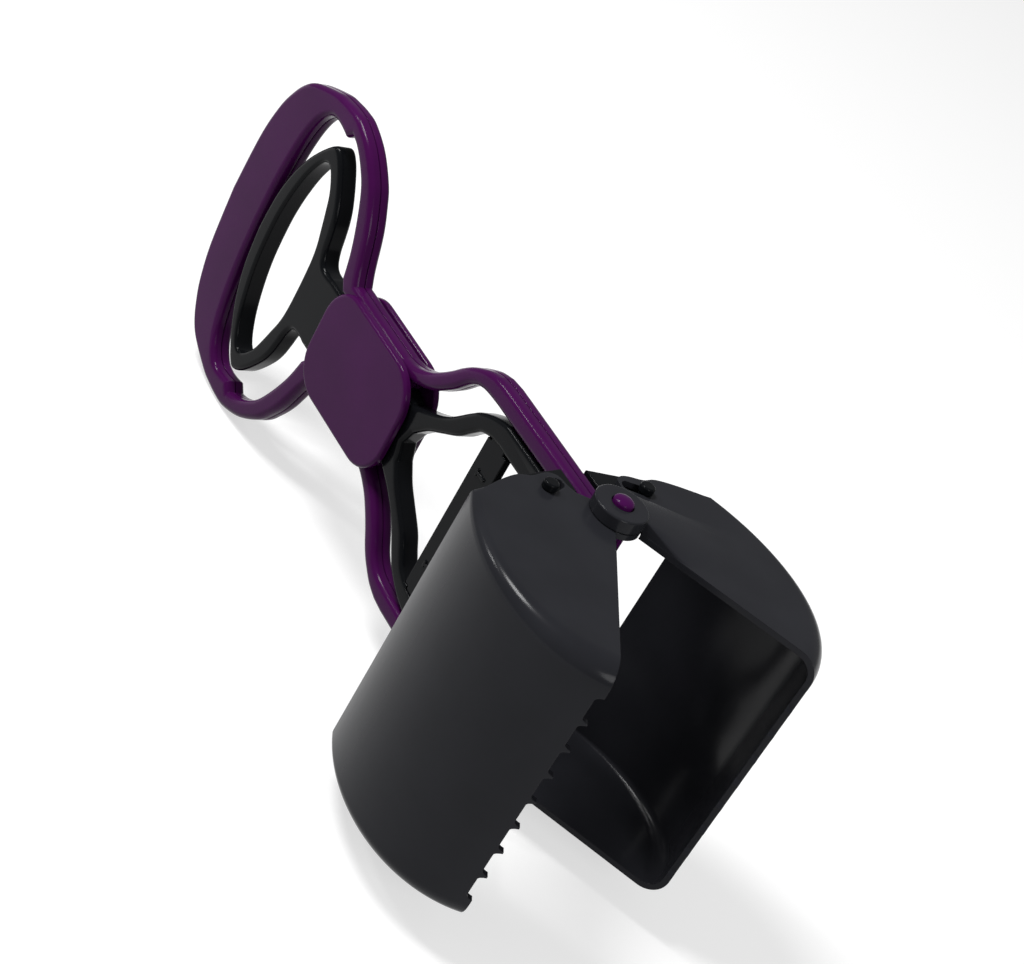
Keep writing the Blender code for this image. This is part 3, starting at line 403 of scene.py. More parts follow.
def slab(name, outline, profile, axis="X"):
    """A plate along X or Z: rings of the outline, inset and placed as the profile says."""
    pairs = zip(outline, outline[1:] + outline[:1])
    outline = [place for place, following in pairs if math.dist(place, following) > WELD]
    work = bmesh.new()
    rings = []
    for distance, level in profile:
        ring = inset(outline, distance) if distance else outline
        places = [(level, a, b) if axis == "X" else (a, b, level) for a, b in ring]
        rings.append([work.verts.new(place) for place in places])
    count = len(outline)
    for lower, upper in zip(rings, rings[1:]):
        for i in range(count):
            j = (i + 1) % count
            work.faces.new((lower[i], lower[j], upper[j], upper[i]))
    caps = [work.faces.new(ring) for ring in (rings[0], rings[-1])]
    bmesh.ops.remove_doubles(work, verts=work.verts, dist=WELD)
    caps = [face for face in caps if face.is_valid]
    bmesh.ops.triangulate(work, faces=caps)
    return mesh_object(name, work)


def lathe(name, centre, profile, axis="Z", points=PIN_POINTS):
    """Turns a profile of (radius, level) pairs round a line along X, Y or Z."""
    work = bmesh.new()
    rings = []
    for radius, level in profile:
        ring = [(a, b, level) for a, b in circle((0, 0), radius, points)] if radius > 0 else [(0, 0, level)]
        rings.append([work.verts.new(place) for place in ring])
    for lower, upper in zip(rings, rings[1:]):
        for i in range(points):
            j = (i + 1) % points
            if len(lower) == 1:
                work.faces.new((lower[0], upper[j], upper[i]))
            elif len(upper) == 1:
                work.faces.new((lower[i], lower[j], upper[0]))
            else:
                work.faces.new((lower[i], lower[j], upper[j], upper[i]))
    for ring in (rings[0], rings[-1]):
        if len(ring) > 1:
            work.faces.new(ring)
    turn = {
        "Z": Matrix.Identity(4),
        "X": Matrix.Rotation(math.pi / 2, 4, "Y"),
        "Y": Matrix.Rotation(-math.pi / 2, 4, "X"),
    }[axis]
    bmesh.ops.transform(work, matrix=Matrix.Translation(Vector(centre)) @ turn, verts=work.verts)
    return mesh_object(name, work)


def block(name, low, high, edge=0.0):
    """A block between two corners, with its edges along X rounded and its faces' rims too."""
    if edge > 0:
        outline = rounded_box(low[1:], high[1:], edge, RIM_STEPS)
        rim_edge = edge * BLOCK_RIM_SHARE
        return slab(name, outline, rims(low[0], high[0], rim_edge, rim_edge))
    outline = [(low[1], low[2]), (high[1], low[2]), (high[1], high[2]), (low[1], high[2])]
    return slab(name, outline, rims(low[0], high[0], 0, 0))


def combine(target, tool, operation):
    """Applies a Boolean to the target and removes the tool."""
    modifier = target.modifiers.new(operation.lower(), "BOOLEAN")
    modifier.operation = operation
    modifier.solver = "EXACT"
    modifier.object = tool
    bpy.context.view_layer.update()
    evaluated = target.evaluated_get(bpy.context.evaluated_depsgraph_get())
    mesh = bpy.data.meshes.new_from_object(evaluated)
    target.modifiers.clear()
    work = bmesh.new()
    work.from_mesh(mesh)
    bmesh.ops.remove_doubles(work, verts=work.verts, dist=WELD)
    bmesh.ops.dissolve_degenerate(work, dist=WELD, edges=work.edges)
    work.to_mesh(mesh)
    work.free()
    target.data = mesh
    bpy.data.objects.remove(tool)
    return target


def cut(target, tool):
    """Takes the tool's shape out of the target."""
    return combine(target, tool, "DIFFERENCE")


def add(target, tool):
    """Joins the tool's shape to the target."""
    return combine(target, tool, "UNION")


def opened(out, up, angle):
    """Swings a place of the closed front jaw open; places are (outwards, upwards)."""
    return (
        out * math.cos(angle) - up * math.sin(angle),
        out * math.sin(angle) + up * math.cos(angle),
    )


def wall_place(share, depth):
    """A place a share of the way from the curved wall's top edge to its lip, moved inwards."""
    turn = math.pi / 2 * share
    out = JAW_REACH * math.cos(turn)
    down = JAW_DEPTH * math.sin(turn)
    normal = Vector((math.cos(turn) / JAW_REACH, math.sin(turn) / JAW_DEPTH)).normalized()
    return out - depth * normal.x, -WALL_TOP_DROP - down + depth * normal.y


def bowl(name, wall, end, top_outline, mouth):
    """A block with the jaw's curved side, which runs round its ends in a corner that widens to the lip."""
    turns = [math.pi / 2 * i / CORNER_STEPS for i in range(CORNER_STEPS + 1)]
    work = bmesh.new()
    rings = []
    for side, turn in [(-1, turn) for turn in reversed(turns)] + [(1, turn) for turn in turns]:
        places = []
        for i in range(JAW_CURVE_POINTS):
            share = i / (JAW_CURVE_POINTS - 1)
            radius = CORNER_TOP_RADIUS + (CORNER_RADIUS - CORNER_TOP_RADIUS) * share - wall
            out, up = wall_place(share, wall + radius * (1 - math.cos(turn)))
            places.append((out, up, side * (end - radius * (1 - math.sin(turn)))))
        places[-1] = (mouth, *places[-1][1:])
        places = [(out, up, places[0][2]) for out, up in top_outline] + places
        rings.append([work.verts.new((-out, up, z)) for out, up, z in places])
    count = len(rings[0])
    for lower, upper in zip(rings, rings[1:]):
        for i in range(count):
            j = (i + 1) % count
            work.faces.new((lower[i], lower[j], upper[j], upper[i]))
    for ring in (rings[0], rings[-1]):
        work.faces.new(ring)
    bmesh.ops.triangulate(work, faces=work.faces)
    return mesh_object(name, work)


def lift_slot(end):
    """A cutter along the lift pin's path through one end wall."""
    work = bmesh.new()
    for i in range(SLOT_STEPS + 1):
        left = 1 - i / SLOT_STEPS
        rise = LIFT_PIN_RISE - TRAVEL * (1 - left)
        out, up = opened(LIFT_PIN_OUT, rise, -OPEN_ANGLE * left)
        for a, b in circle((-out, up), LIFT_PIN_RADIUS + LIFT_SLOT_GAP, SLOT_POINTS):
            for level in (WALL_INNER - OVERRUN, HALF_WIDTH + OVERRUN):
                work.verts.new((a, b, end * level))
    hull = bmesh.ops.convex_hull(work, input=work.verts)
    loose = [item for item in hull["geom_interior"] if isinstance(item, bmesh.types.BMVert)]
    bmesh.ops.delete(work, geom=loose, context="VERTS")
    return mesh_object("lift_slot", work)


def outer_ear():
    """The raised ear at the jaw's far end, a disc whose own side tapers down into the end wall."""
    edge = [(EAR_RADIUS, -EAR_SEAT)]
    edge += [(EAR_RADIUS - drop, -level) for drop, level in reversed(rim(EAR_FACE, EAR_EDGE, -1))]
    work = bmesh.new()
    for level in (-EAR_SEAT, EAR_STEP - EAR_FACE):
        for a, b in circle((0, 0), EAR_RADIUS - EAR_EDGE, DISC_POINTS):
            if a < -SEAM:
                work.verts.new((a, b, level))
    for level in (HALF_WIDTH - JAW_WALL / 2, HALF_WIDTH + EAR_FOOT_RISE):
        for a, b in circle((-EAR_FOOT_OUT, -EAR_FOOT_DROP), EAR_FOOT_RADIUS, DISC_POINTS):
            work.verts.new((a, b, -level))
    hull = bmesh.ops.convex_hull(work, input=work.verts)
    loose = [item for item in hull["geom_interior"] if isinstance(item, bmesh.types.BMVert)]
    bmesh.ops.delete(work, geom=loose, context="VERTS")
    return add(lathe("outer_ear", (0, 0, 0), edge, "Z", DISC_POINTS), mesh_object("taper", work))


def tooth_gaps():
    """A cutter that leaves teeth along the lip, with flat gaps between their hollow flanks."""
    tip = TOOTH_TIP / 2
    flank = [(tip + out * TOOTH_FLANK, -SEAM - down * TOOTH_HEIGHT) for out, down in TOOTH_FLANK_SHARES]
    end = TOOTH_PITCH * (TOOTH_COUNT - 1) / 2 - tip
    outline = [(OVERRUN, end), (OVERRUN, -end)]
    for gap in range(TOOTH_COUNT - 1):
        low = (gap - (TOOTH_COUNT - 1) / 2) * TOOTH_PITCH
        high = low + TOOTH_PITCH
        outline += [(0, low + tip)] + [(x, low + out) for out, x in flank]
        outline += [(x, high - out) for out, x in reversed(flank)] + [(0, high - tip)]
    work = bmesh.new()
    rings = []
    for level in (-JAW_LENGTH - OVERRUN, -JAW_LENGTH + JAW_WALL + OVERRUN):
        rings.append([work.verts.new((x, level, z)) for x, z in outline])
        work.faces.new(rings[-1])
    for i in range(len(outline)):
        j = (i + 1) % len(outline)
        work.faces.new((rings[0][i], rings[0][j], rings[1][j], rings[1][i]))
    return mesh_object("tooth_gaps", work)


def build_jaw(name):
    """One jaw, closed and at the front."""
    wall_top = smooth([(out * JAW_REACH, up * JAW_DEPTH) for out, up in WALL_TOP_SHARES], CURVE_STEPS // 2)
    top_outline = [(SEAM, wall_top[-1][1])] + list(reversed(wall_top))
    jaw = bowl(name, 0.0, HALF_WIDTH, top_outline, SEAM)
    inside_top = [(-JAW_REACH, JAW_DEPTH), (JAW_REACH - JAW_WALL, JAW_DEPTH)]
    cut(jaw, bowl("inside", JAW_WALL, WALL_INNER, inside_top, -JAW_REACH))

    ear = circle((0, 0), EAR_RADIUS, DISC_POINTS)
    add(jaw, slab("inner_ear", ear, rims(WALL_INNER, HALF_WIDTH, 0, 0), "Z"))
    add(jaw, outer_ear())
    room = circle((0, 0), EAR_RADIUS + FIT_GAP, DISC_POINTS)
    cut(jaw, slab("ear_room", room, rims(-EAR_SEAT, -WALL_INNER + OVERRUN, 0, 0), "Z"))
    bore = circle((0, 0), HINGE_PIN_RADIUS + FIT_GAP, PIN_POINTS)
    for end in (-1, 1):
        levels = sorted((end * (WALL_INNER - OVERRUN), end * (EAR_FACE + OVERRUN)))
        cut(jaw, slab("bore", bore, rims(*levels, 0, 0), "Z"))
        cut(jaw, lift_slot(end))
    cut(jaw, tooth_gaps())
    return jaw


def handle_outline():
    """The yoke seen from the front, as (Y, Z) places round one closed loop and two arms."""
    outer = [(0, ARM_OUTER), (HUB_FOOT * ARM_STRAIGHT_SHARE, ARM_OUTER)]
    outer += smooth(list(reversed(shaped(ARM_OUTER_SHARES, 0, HUB_FOOT, ARM_OUTER))))
    outer += smooth(shaped(LOOP_OUTER_SHARES, LOOP_BASE, LOOP_HEIGHT, GRIP_HALF_WIDTH))
    inner = smooth(list(reversed(shaped(PALM_INNER_SHARES, LOOP_BASE, LOOP_HEIGHT, GRIP_HALF_WIDTH))))
    inner += smooth(list(reversed(shaped(LOOP_INNER_SHARES, LOOP_BASE, LOOP_HEIGHT, GRIP_HALF_WIDTH))))
    rail_top = LOOP_BASE + LOOP_HEIGHT * LOOP_INNER_SHARES[0][0] - RAIL_WIDTH / 2
    inner += [(rail_top, RAIL_INNER), (HUB_FOOT, RAIL_INNER)]
    inner += smooth(list(reversed(shaped(ARM_INNER_SHARES, 0, HUB_FOOT, ARM_INNER))))
    inner += [(0, ARM_INNER)]
    left_outer = [(y, -z) for y, z in reversed(outer[:-1])]
    left_inner = [(y, -z) for y, z in reversed(inner)][:-1]
    return outer + left_outer + left_inner + inner


def hinge_pin_profile(gap=0.0):
    """The hinge pin from its flange in the arm's eye out to its domed tip, as (radius, level)."""
    flange_start = ARM_INNER + EYE_SKIN - gap + FIT_GAP
    flange_end = ARM_INNER + EYE_SKIN + FIT_GAP + HINGE_PIN_FLANGE + gap
    flange = HINGE_PIN_FLANGE_RADIUS + gap
    shaft = HINGE_PIN_RADIUS + gap
    profile = [(flange, flange_start), (flange, flange_end), (shaft, flange_end)]
    if gap > 0:
        return profile + [(shaft, ARM_OUTER + OVERRUN)]
    dome = HINGE_PIN_PROUD * HINGE_PIN_DOME_SHARE
    for i in range(ROUND_STEPS):
        turn = math.pi / 2 * i / ROUND_STEPS
        profile.append((shaft * math.cos(turn), PIN_TIP - dome + dome * math.sin(turn)))
    return profile + [(0, PIN_TIP)]


def turned_down(profile):
    """The same profile at the other end of the axis."""
    return [(radius, -level) for radius, level in profile]


def build_handle_half(name, side):
    """One half of the yoke; side is -1 at the front and 1 at the rear."""
    face, seam = side * HANDLE_THICKNESS / 2, side * SEAM
    profile = rim(face, HANDLE_EDGE, -side) + list(reversed(rim(seam, SEAM_EDGE, side, SEAM_STEPS)))
    half = slab(name, handle_outline(), profile)
    for end in (-1, 1):
        low, high = sorted((end * ARM_INNER, end * ARM_OUTER))
        eye = circle((0, 0), EYE_RADIUS, DISC_POINTS)
        disc = slab("eye", eye, rims(low, high, EYE_EDGE, EYE_EDGE), "Z")
        reach = 2 * EYE_RADIUS
        near, far = sorted((-side * reach, seam))
        cut(disc, block("other_side", (near, -reach, low - OVERRUN), (far, reach, high + OVERRUN)))
        add(half, disc)
        profile = hinge_pin_profile(FIT_GAP)
        cut(half, lathe("pin_room", (0, 0, 0), profile if end > 0 else turned_down(profile)))
    return half


def build_hinge_pin(name, end):
    """One hinge pin; end is 1 at the near side and -1 at the far side."""
    profile = hinge_pin_profile()
    return lathe(name, (0, 0, 0), profile if end > 0 else turned_down(profile))


def screw_places():
    """The hub screws' places, two on each rail."""
    levels = (HUB_BOTTOM + SCREW_BOTTOM_MARGIN, HUB_TOP - SCREW_TOP_MARGIN)
    return [(y, z) for y in levels for z in (-RAIL_CENTRE, RAIL_CENTRE)]


def build_cover(name, side):
    """One hub cover; side is -1 at the front and 1 at the rear, where the screws' heads sit."""
    outline = rounded_box((HUB_BOTTOM, -HUB_HALF_WIDTH), (HUB_TOP, HUB_HALF_WIDTH), HUB_CORNER)
    inner_face, outer_face = side * COVER_SEAT, side * (COVER_SEAT + COVER_THICKNESS)
    profile = rim(outer_face, COVER_EDGE, -side)
    profile += [(0, inner_face + side * SEAM_EDGE), (SEAM_EDGE, inner_face)]
    cover = slab(name, outline, profile)
    if side > 0:
        for y, z in screw_places():
            head = SCREW_HEAD_RADIUS + FIT_GAP
            seat = outer_face - SCREW_HEAD - FIT_GAP
            recess = [(head, seat), (head, outer_face - SEAM_EDGE)]
            recess += [(head + SEAM_EDGE + OVERRUN, outer_face + OVERRUN)]
            cut(cover, lathe("recess", (0, y, z), recess, "X"))
    return cover


def build_anchor(name):
    """The block inside the rear cover that the return spring pushes against."""
    wide = POCKET_HALF_WIDTH - RUN_GAP
    low = (-COVER_SEAT + RUN_GAP, ANCHOR_BOTTOM, -wide)
    high = (COVER_SEAT + FIT_GAP, ANCHOR_BOTTOM + ANCHOR_HEIGHT, wide)
    return block(name, low, high, SEAM_EDGE)


def build_screw(name, y, z):
    """A cross-slotted screw that holds both covers to a rail."""
    outer_face = COVER_SEAT + COVER_THICKNESS
    head_seat = outer_face - SCREW_HEAD
    profile = [(SCREW_RADIUS, -COVER_SEAT - SCREW_BITE), (SCREW_RADIUS, head_seat)]
    profile += [(SCREW_HEAD_RADIUS, head_seat)]
    edge = rim(outer_face, SCREW_EDGE, -1, SCREW_EDGE_STEPS)
    profile += [(SCREW_HEAD_RADIUS - drop, level) for drop, level in reversed(edge)]
    screw = lathe(name, (0, y, z), profile, "X")
    across = SCREW_HEAD_RADIUS * SCREW_SLOT_SHARE
    stroke = SCREW_SLOT_WIDTH / 2
    for half_y, half_z in ((stroke, across), (across, stroke)):
        low = (outer_face - SCREW_SLOT_DEPTH, y - half_y, z - half_z)
        cut(screw, block("slot", low, (outer_face + OVERRUN, y + half_y, z + half_z)))
    return screw


def trigger_outline():
    """Ring, neck and fork of the trigger as one outline."""
    inner = [(0, FORK_INNER)]
    inner += smooth(shaped(FORK_INNER_SHARES, 0, FORK_TOP, FORK_OUTER))
    inner += [(FORK_TOP * FORK_CROTCH_SHARE, 0)]
    ring = shaped(RING_OUTER_SHARES, RING_BASE, RING_TOP - RING_BASE, RING_HALF_WIDTH)
    outer = smooth(list(reversed(ring)))
    outer += [(RING_BASE, NECK_HALF_WIDTH), (FORK_TOP, NECK_HALF_WIDTH)]
    outer += smooth(shaped(FORK_OUTER_SHARES, 0, FORK_TOP, FORK_OUTER))
    outer += [(0, FORK_OUTER)]
    right = [(max(y, FOOT_BOTTOM), z) for y, z in outer]
    left_outer = [(y, -z) for y, z in reversed(right)][:-1]
    inside = [(max(y, FOOT_BOTTOM), z) for y, z in inner]
    left_inner = [(y, -z) for y, z in inside]
    return right + inside + list(reversed(left_inner))[1:] + left_outer


def foot_end():
    """The rounded end of a foot beyond its lift pin, as (X, Y) places from the bottom to the top."""
    end = []
    x = FOOT_HALF_LENGTH - FOOT_CORNER
    for y, quarter in ((FOOT_BOTTOM + FOOT_CORNER, -1), (FOOT_TOP - FOOT_CORNER, 0)):
        for i in range(ROUND_STEPS + 1):
            turn = math.pi / 2 * (quarter + i / ROUND_STEPS)
            end.append((x + FOOT_CORNER * math.cos(turn), y + FOOT_CORNER * math.sin(turn)))
    return end


def foot_outline():
    """A foot seen along the hinge axis, as (X, Y) places."""
    neck = (TRIGGER_THICKNESS / 2, FOOT_TOP + FOOT_SHOULDER / 2)
    right = [(0, FOOT_BOTTOM)] + foot_end() + [(FOOT_BLOCK_INSIDE, FOOT_TOP), neck]
    return right + [(-x, y) for x, y in reversed(right) if x > 0]


def block_outline(side):
    """The thick end of a foot: it reaches to the handle's arm above the hinge eye's travel."""
    beside_arm = HANDLE_THICKNESS / 2 + RUN_GAP
    over_eye = EYE_RADIUS + TRAVEL + RUN_GAP
    outline = [(FOOT_BLOCK_INSIDE, FOOT_BOTTOM)] + foot_end()
    outline += [(beside_arm, FOOT_TOP + FOOT_RIDGE), (beside_arm, over_eye), (FOOT_BLOCK_INSIDE, over_eye)]
    return [(side * x, y) for x, y in outline]


def window_cutter(half):
    """A cutter for the finger window that flares at both faces, so that its rims are round."""
    shares = shaped(RING_WINDOW_SHARES, RING_BASE, RING_TOP - RING_BASE, RING_HALF_WIDTH)
    flare = [(-drop, level) for drop, level in rims(-half, half, WINDOW_EDGE, WINDOW_EDGE)]
    profile = [(flare[0][0], -half - OVERRUN)] + flare + [(flare[-1][0], half + OVERRUN)]
    return slab("window", both_sides(smooth(shares)), profile)


def build_trigger(name):
    """The squeeze ring, its neck through the hub, and a fork whose feet carry the lift pins."""
    half = TRIGGER_THICKNESS / 2
    trigger = slab(name, trigger_outline(), rims(-half, half, TRIGGER_EDGE, TRIGGER_EDGE))
    cut(trigger, window_cutter(half))
    pocket_low = (-half - OVERRUN, POCKET_BOTTOM, -POCKET_HALF_WIDTH)
    cut(trigger, block("pocket", pocket_low, (half + OVERRUN, POCKET_TOP, POCKET_HALF_WIDTH)))
    block_face = WALL_INNER - RUN_GAP
    for end in (-1, 1):
        levels = sorted((end * (FORK_OUTER - FOOT_WEB), end * FORK_OUTER))
        add(trigger, slab("foot", foot_outline(), rims(*levels, FOOT_EDGE, FOOT_EDGE), "Z"))
        levels = sorted((end * (FORK_OUTER - FOOT_WEB / 2), end * block_face))
        for side in (-1, 1):
            add(trigger, slab("block", block_outline(side), rims(*levels, FOOT_EDGE, FOOT_EDGE), "Z"))
            hole = circle((side * LIFT_PIN_OUT, LIFT_PIN_RISE), LIFT_PIN_RADIUS + FIT_GAP, PIN_POINTS)
            inner_end = block_face - LIFT_PIN_DEPTH - FIT_GAP
            hole_levels = sorted((end * inner_end, end * (block_face + OVERRUN)))
            cut(trigger, slab("pin_hole", hole, rims(*hole_levels, 0, 0), "Z"))
    for low, high in plate_boxes(FIT_GAP):
        cut(trigger, block("mortise", low, high))
    return trigger


def plate_boxes(gap):
    """The cross plate's body and its tenons as pairs of corners, grown by a gap."""
    side = FORK_INNER - FIT_GAP
    reach = FORK_INNER + TENON_LENGTH
    face = -PLATE_FRONT - gap
    back = -PLATE_FRONT + PLATE_THICKNESS + gap
    body = ((face, PLATE_BOTTOM - gap, -side - gap), (back, PLATE_TOP + gap, side + gap))
    tenon_bottom = PLATE_BOTTOM + TENON_SHOULDER - gap
    tenon_top = PLATE_TOP - TENON_SHOULDER + gap
    return body, ((face, tenon_bottom, -reach - gap), (back, tenon_top, reach + gap))


def build_cross_plate(name):
    """A plate tenoned between the trigger's arms, with a T-shaped rib near each end."""
    body, tenons = plate_boxes(0.0)
    plate = block(name, *body, PLATE_EDGE)
    add(plate, block("tenons", *tenons, PLATE_EDGE))
    face = -PLATE_FRONT
    middle = (PLATE_BOTTOM + PLATE_TOP) / 2
    raised = face - PLATE_MARK_RISE
    depth = face + PLATE_THICKNESS / 2
    arm = PLATE_MARK_LENGTH / 2
    stroke = PLATE_MARK_STROKE / 2
    for end in (-1, 1):
        z = end * PLATE_MARK_OUT
        low, high = (raised, middle - arm, z - stroke), (depth, middle + arm, z + stroke)
        stem = block("stem", low, high, PLATE_MARK_EDGE)
        low = (raised, middle + arm - PLATE_MARK_STROKE, z - arm / 2)
        add(stem, block("bar", low, (depth, middle + arm, z + arm / 2), PLATE_MARK_EDGE))
        add(plate, stem)
    return plate


def build_lift_pin(name, side, end):
    """A headed pin, pressed into a foot, that runs in the slot of an end wall."""
    start = WALL_INNER - RUN_GAP - LIFT_PIN_DEPTH
    top = EAR_SEAT + LIFT_HEAD
    profile = [(LIFT_PIN_RADIUS, start), (LIFT_PIN_RADIUS, EAR_SEAT), (LIFT_HEAD_RADIUS, EAR_SEAT)]
    profile += [(LIFT_HEAD_RADIUS - drop, level) for drop, level in reversed(rim(top, EAR_EDGE, -1))]
    if end < 0:
        profile = turned_down(profile)
    return lathe(name, (side * LIFT_PIN_OUT, LIFT_PIN_RISE, 0), profile)


def build_spring(name):
    """The return spring, pressed together between the trigger's pocket and the anchor."""
    start = POCKET_BOTTOM + FIT_GAP + SPRING_WIRE / 2
    end = ANCHOR_BOTTOM - FIT_GAP - SPRING_WIRE / 2
    count = SPRING_TURNS * SPRING_TURN_POINTS
    curve = bpy.data.curves.new(name, "CURVE")
    curve.dimensions = "3D"
    curve.bevel_depth = SPRING_WIRE / 2
    curve.bevel_resolution = SPRING_WIRE_STEPS
    curve.use_fill_caps = True
    spline = curve.splines.new("POLY")
    spline.points.add(count)
    for i, point in enumerate(spline.points):
        turn = 2 * math.pi * i / SPRING_TURN_POINTS
        level = start + (end - start) * i / count
        point.co = (SPRING_RADIUS * math.cos(turn), level, SPRING_RADIUS * math.sin(turn), 1)
    made = bpy.data.objects.new(name, curve)
    bpy.context.scene.collection.objects.link(made)
    return made


def noise(nodes, links, scale, detail):
    """Noise over a piece's own coordinates."""
    place = nodes.new("ShaderNodeTexCoord")
    made = nodes.new("ShaderNodeTexNoise")
    made.inputs["Scale"].default_value = scale
    made.inputs["Detail"].default_value = detail
    links.new(place.outputs["Object"], made.inputs["Vector"])
    return made.outputs["Fac"]


def bumped(nodes, links, height, strength, depth):
    """A bump from a height, and the socket for the normal that it starts from."""
    made = nodes.new("ShaderNodeBump")
    made.inputs["Strength"].default_value = strength
    made.inputs["Distance"].default_value = depth
    links.new(height, made.inputs["Height"])
    return made.outputs["Normal"], made.inputs["Normal"]


def varied(nodes, links, source, low, high):
    """Turns a noise into values between two levels."""
    made = nodes.new("ShaderNodeMapRange")
    made.inputs["To Min"].default_value = low
    made.inputs["To Max"].default_value = high
    links.new(source, made.inputs["Value"])
    return made


def plastic(name):
    """Moulded plastic: smudges in its gloss and tint, slow waves from the mould and fine pores."""
    colour, roughness, grain, strength, specular = PLASTICS[name]
    made = bpy.data.materials.new(name)
    made.use_nodes = True
    made.diffuse_color = (*colour, 1)
    nodes, links = made.node_tree.nodes, made.node_tree.links
    shader = nodes["Principled BSDF"]
    shader.inputs["Specular IOR Level"].default_value = specular

    smudge = noise(nodes, links, SMUDGE_SCALE, SMUDGE_DETAIL)
    gloss = varied(nodes, links, smudge, roughness - grain, roughness + grain)
    gloss.inputs["From Min"].default_value = SMUDGE_LOW
    gloss.inputs["From Max"].default_value = SMUDGE_HIGH
    links.new(gloss.outputs["Result"], shader.inputs["Roughness"])
    tint = nodes.new("ShaderNodeValToRGB")
    for element, level, share in zip(
        tint.color_ramp.elements, (SMUDGE_LOW, SMUDGE_HIGH), (1 - TINT_SHARE, 1 + TINT_SHARE)
    ):
        element.position = level
        element.color = (*[part * share for part in colour], 1)
    links.new(smudge, tint.inputs["Fac"])
    links.new(tint.outputs["Color"], shader.inputs["Base Color"])

    soft_edge = nodes.new("ShaderNodeBevel")
    soft_edge.samples = SOFT_EDGE_SAMPLES
    soft_edge.inputs["Radius"].default_value = SOFT_EDGE
    normal = soft_edge.outputs["Normal"]
    for scale, detail, depth in (
        (WAVE_SCALE, WAVE_DETAIL, WAVE_DEPTH), (PORE_SCALE, PORE_DETAIL, PORE_DEPTH),
    ):
        result, start = bumped(nodes, links, noise(nodes, links, scale, detail), strength, depth)
        links.new(normal, start)
        normal = result
    links.new(normal, shader.inputs["Normal"])
    return made


def steel(name):
    """Zinc-plated steel with a slight cloudiness in its gloss."""
    made = bpy.data.materials.new(name)
    made.use_nodes = True
    made.diffuse_color = ZINC_COLOUR
    nodes, links = made.node_tree.nodes, made.node_tree.links
    shader = nodes["Principled BSDF"]
    shader.inputs["Base Color"].default_value = ZINC_COLOUR
    shader.inputs["Metallic"].default_value = 1.0
    cloud = noise(nodes, links, ZINC_CLOUD_SCALE, ZINC_CLOUD_DETAIL)
    gloss = varied(nodes, links, cloud, ZINC_ROUGHNESS_LOW, ZINC_ROUGHNESS_HIGH)
    links.new(gloss.outputs["Result"], shader.inputs["Roughness"])
    normal = bumped(nodes, links, cloud, ZINC_BUMP, ZINC_BUMP_DEPTH)[0]
    links.new(normal, shader.inputs["Normal"])
    return made


def dress(piece, node, body, look):
    """Puts a piece in its place over a CAD node, with its material and smooth shading."""
    piece.location = HINGE_AXIS
    piece.data.materials.clear()
    piece.data.materials.append(look)
    if piece.type == "MESH":
        piece.data.shade_smooth()
        piece.data.set_sharp_from_angle(angle=SHARP_ANGLE)
        weighted = piece.modifiers.new("weighted_normals", "WEIGHTED_NORMAL")
        weighted.keep_sharp = True
    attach(piece, body)
    if node:
        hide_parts(node)


def build_object():
    """Builds every piece and puts it over its CAD node."""
    purple = plastic("purple_plastic")
    charcoal = plastic("charcoal_plastic")
    black = plastic("black_plastic")
    zinc = steel("zinc_steel")

    for name, side in (("front", -1), ("rear", 1)):
        half = build_handle_half(f"moulded_handle_{name}_half", side)
        dress(half, f"handle_{name}_half", "handle", purple)
        cover = build_cover(f"moulded_hub_{name}_cover", side)
        dress(cover, f"hub_{name}_cover", "handle", purple)
    dress(build_anchor("moulded_spring_anchor"), None, "handle", purple)
    for number, (y, z) in enumerate(screw_places(), 1):
        screw = build_screw(f"turned_hub_screw_{number}", y, z)
        dress(screw, f"hub_screw_{number}", "handle", zinc)
    for name, end in (("near", 1), ("far", -1)):
        pin = build_hinge_pin(f"moulded_hinge_pin_{name}", end)
        dress(pin, f"hinge_pin_{name}", "handle", purple)
    dress(build_spring("wound_return_spring"), "return_spring", "handle", zinc)

    dress(build_trigger("moulded_trigger"), "trigger", "trigger", black)
    plate = build_cross_plate("moulded_cross_plate")
    dress(plate, "trigger_cross_plate", "trigger", black)
    for end_name, end in (("near", 1), ("far", -1)):
        for side_name, side in (("front", -1), ("rear", 1)):
            pin = build_lift_pin(f"moulded_lift_pin_{end_name}_{side_name}", side, end)
            dress(pin, f"lift_pin_{end_name}_{side_name}", "trigger", black)

    front = build_jaw("moulded_front_jaw")
    rear = bpy.data.objects.new("moulded_rear_jaw", front.data.copy())
    bpy.context.scene.collection.objects.link(rear)
    for jaw, node, turned, swing in (
        (front, "front_jaw", 0, -OPEN_ANGLE), (rear, "rear_jaw", math.pi, OPEN_ANGLE),
    ):
        jaw.data.transform(Matrix.Rotation(swing, 4, "Z") @ Matrix.Rotation(turned, 4, "Y"))
        dress(jaw, node, node, charcoal)


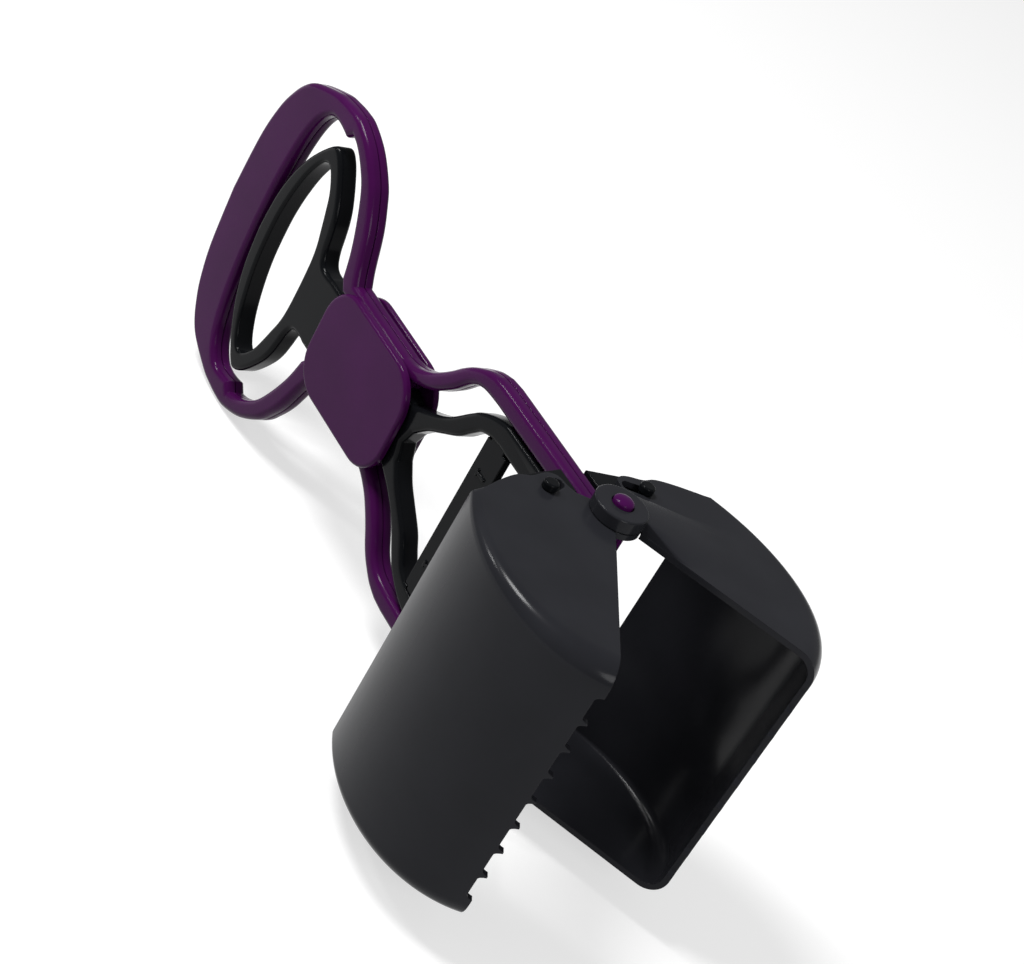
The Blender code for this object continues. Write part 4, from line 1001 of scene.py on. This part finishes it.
def build_floor():
    """A pale floor that reads as white to the camera and in reflections, and keeps the shadow."""
    work = bmesh.new()
    bmesh.ops.create_grid(work, x_segments=1, y_segments=1, size=FLOOR_SIZE / 2)
    floor = mesh_object("floor", work)
    floor.location = (0, 0, -FLOOR_DROP)
    made = bpy.data.materials.new("pale_floor")
    made.use_nodes = True
    nodes, links = made.node_tree.nodes, made.node_tree.links
    shader = nodes["Principled BSDF"]
    shader.inputs["Base Color"].default_value = (FLOOR_COLOUR, FLOOR_COLOUR, FLOOR_COLOUR, 1)
    shader.inputs["Roughness"].default_value = FLOOR_ROUGHNESS
    shader.inputs["Specular IOR Level"].default_value = 0.0
    shader.inputs["Emission Color"].default_value = (1, 1, 1, 1)
    path = nodes.new("ShaderNodeLightPath")
    seen = path.outputs["Is Camera Ray"]
    for ray in ("Is Glossy Ray", "Is Transmission Ray"):
        total = nodes.new("ShaderNodeMath")
        total.operation = "ADD"
        links.new(seen, total.inputs[0])
        links.new(path.outputs[ray], total.inputs[1])
        seen = total.outputs["Value"]
    glow = nodes.new("ShaderNodeMath")
    glow.operation = "MULTIPLY"
    glow.inputs[1].default_value = FLOOR_GLOW
    links.new(seen, glow.inputs[0])
    links.new(glow.outputs["Value"], shader.inputs["Emission Strength"])
    floor.data.materials.append(made)


def area_light(name, place, size, power):
    """A round lamp that faces the object."""
    light = bpy.data.lights.new(name, "AREA")
    light.shape = "DISK"
    light.size = size
    light.energy = power
    made = bpy.data.objects.new(name, light)
    bpy.context.scene.collection.objects.link(made)
    made.location = place
    made.rotation_euler = (Vector(LAMP_TARGET) - Vector(place)).to_track_quat("-Z", "Y").to_euler()


def build_light():
    """A white surrounding and the lamps."""
    world = bpy.data.worlds.new("studio")
    world.use_nodes = True
    backdrop = world.node_tree.nodes["Background"]
    backdrop.inputs["Color"].default_value = (1, 1, 1, 1)
    backdrop.inputs["Strength"].default_value = WORLD_STRENGTH
    bpy.context.scene.world = world
    for lamp in LAMPS:
        area_light(*lamp)


def build_camera():
    """The camera, from its place and the directions behind and above it."""
    camera = bpy.data.cameras.new("photo_camera")
    camera.sensor_width = SENSOR_WIDTH
    camera.lens = LENS
    camera.clip_end = CAMERA_CLIP_END
    made = bpy.data.objects.new("photo_camera", camera)
    bpy.context.scene.collection.objects.link(made)
    back = Vector(CAMERA_BACK).normalized()
    right = Vector(CAMERA_UP).cross(back).normalized()
    up = back.cross(right)
    turn = Matrix((right, up, back)).transposed()
    made.matrix_world = Matrix.Translation(Vector(CAMERA_PLACE)) @ turn.to_4x4()
    bpy.context.scene.camera = made
    bpy.context.scene.view_settings.view_transform = "Standard"


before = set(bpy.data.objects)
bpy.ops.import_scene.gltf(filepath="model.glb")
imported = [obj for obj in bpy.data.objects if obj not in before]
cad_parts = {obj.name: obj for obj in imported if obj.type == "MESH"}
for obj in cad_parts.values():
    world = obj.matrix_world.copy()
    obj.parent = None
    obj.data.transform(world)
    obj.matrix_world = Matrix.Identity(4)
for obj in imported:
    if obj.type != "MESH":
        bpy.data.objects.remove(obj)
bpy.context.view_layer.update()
pin_low, pin_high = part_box("hinge_pin_near")
HINGE_AXIS = Vector(((pin_low.x + pin_high.x) / 2, (pin_low.y + pin_high.y) / 2, pin_high.z - PIN_TIP))

build_object()
build_floor()
build_light()
build_camera()
